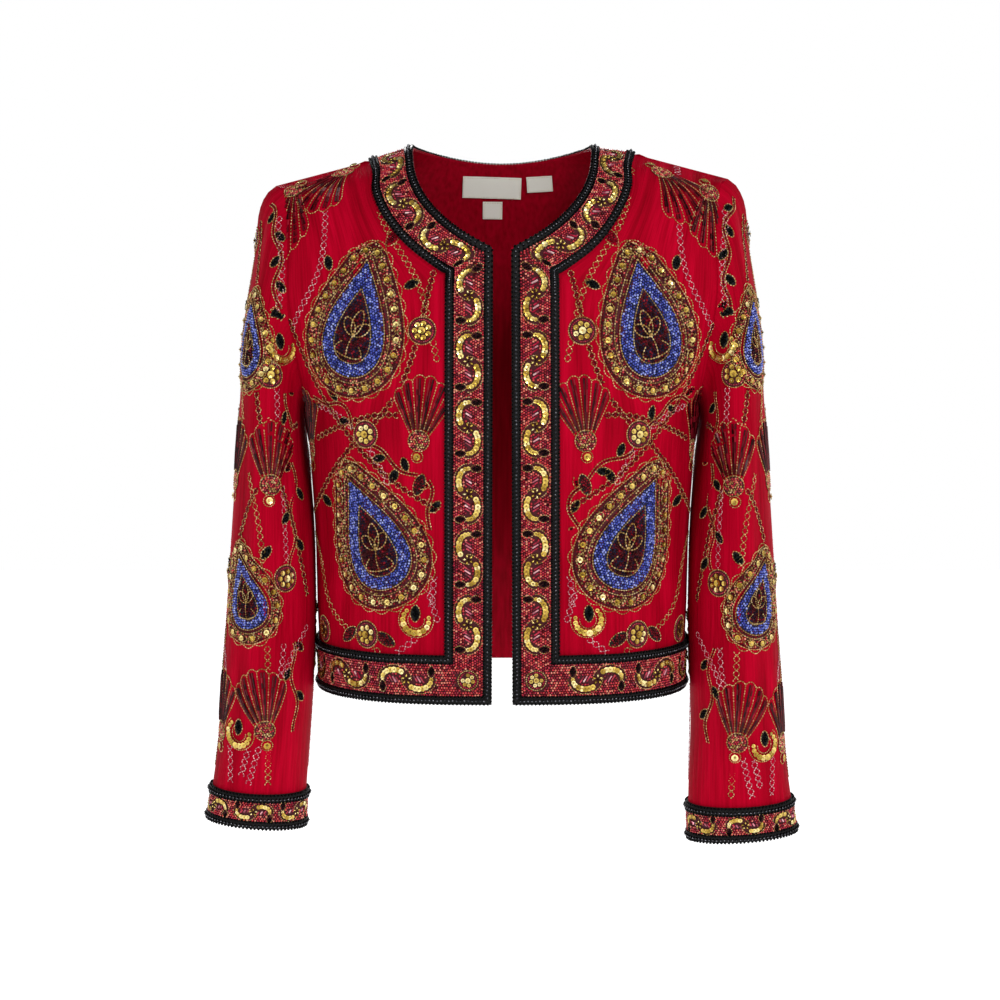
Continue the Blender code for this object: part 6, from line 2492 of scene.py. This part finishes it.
SLEEVE_VINES = (
    Vine(Line.VINE, ((20, 1.4), (84, 1.8), (120, 4.4), (132, 8.0), (124, 12.0), (136, 16.4))),
    Vine(Line.DARK_ROPE, ((14, 2.4), (80, 7.0), (120, 9.6), (150, 12.6))),
    Vine(Line.DARK_ROPE, ((146, 5.0), (96, 8.4), (40, 11.4), (4, 15.6))),
    Vine(Line.PALE_ROPE, ((40, 0.8), (104, 5.4), (116, 11.0), (70, 17.6))),
    Vine(Line.PALE_ROPE, ((150, 13.4), (110, 15.0), (80, 17.8))),
    Vine(Line.PALE_ROPE, ((6, 13.6), (36, 15.0), (56, 17.8))),
    Vine(Line.GOLD_ROPE, ((0, 4.0), (56, 8.8), (92, 13.0), (104, 17.8))),
    Vine(Line.DARK_ROPE, ((350, 0.8), (372, 6.0), (340, 11.0), (366, 17.6))),
    Vine(Line.PALE_ROPE, ((334, 2.0), (348, 8.0), (378, 12.6), (352, 17.6))),
    Vine(Line.VINE, ((330, 1.2), (280, 4.0), (262, 8.0), (272, 12.0), (258, 16.8))),
    Vine(Line.DARK_ROPE, ((200, 2.0), (270, 8.0), (344, 14.0))),
    Vine(Line.PALE_ROPE, ((344, 3.0), (270, 7.0), (196, 13.0), (190, 17.6))),
    Vine(Line.GOLD_ROPE, ((182, 6.0), (222, 11.0), (296, 17.6))),
)


@dataclass(frozen=True)
class LabelCut:
    """One label: its node, its width and height in millimetres and its lean in degrees."""

    node: str
    width: float
    height: float
    lean: float


@dataclass(frozen=True)
class Labels:
    """The three bare labels inside the back neck, sewn on along their edges."""

    cuts: tuple[LabelCut, ...] = (
        LabelCut("label_main", 57.0, 22.5, -2.0),
        LabelCut("label_size", 19.0, 18.0, -1.0),
        LabelCut("label_care", 25.0, 16.5, 4.0),
    )
    hem: float = 1.1
    stitch: float = 2.4

    def build(self, book: MaterialBook) -> None:
        """Makes each label and the stitches round it."""
        pile = Pile("label_stitches")
        for label in self.cuts:
            piece = self.add_label(label.node, book)
            self.sew_round(pile, piece, label)
        place_piece(pile.build(book))

    def add_label(self, name: str, book: MaterialBook) -> bpy.types.Object:
        """Woven tape in the label's place, with its faces split finely enough to round off."""
        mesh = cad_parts[name].data.copy()
        mesh.materials.clear()
        mesh.materials.append(book.label)
        piece = bpy.data.objects.new(f"woven_{name}", mesh)
        bpy.context.scene.collection.objects.link(piece)
        bevel = piece.modifiers.new("edge", "BEVEL")
        bevel.width, bevel.segments = 0.25 * MM, 2
        bevel.limit_method = "ANGLE"
        return place_piece(piece, [name])

    def sew_round(self, pile: Pile, piece: bpy.types.Object, label: LabelCut) -> None:
        """Running stitches just inside a label's edge."""
        mesh = piece.data
        points = np.array([v.co for v in mesh.vertices])
        tree = BVHTree.FromPolygons(points.tolist(), [list(p.vertices) for p in mesh.polygons])
        middle = (points.min(axis=0) + points.max(axis=0)) / 2
        hit, normal, _, _ = tree.ray_cast(Vector(middle) + Vector((0, -0.05, 0)), Vector((0, 1, 0)))
        spot = Spot(tree, np.array(hit), np.array(normal), label.lean)
        x, y = label.width / 2 - self.hem, label.height / 2 - self.hem
        corners = np.array([(-x, -y), (x, -y), (x, y), (-x, y), (-x, -y)])
        chart = Chart()
        for a, b in zip(corners[:-1], corners[1:]):
            at, turn = walk(np.array([a, b]), self.stitch)
            chart.put(Shape.BUGLE, at, turn, self.stitch * 0.62, 0.5, Finish.THREAD, -0.1)
        chart.sew(pile, spot)


def main() -> None:
    """Builds the jacket's looks, piece by piece."""
    logging.basicConfig(level=logging.INFO, format="%(message)s", stream=sys.stdout)
    Studio().build()
    book = MaterialBook()
    shell = Shell()
    shell.build(book)
    Bands(shell.cloths).build(book)
    Embroidery(shell.cloths).build(book)
    Labels().build(book)
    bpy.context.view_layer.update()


if __name__ == "__main__":
    main()
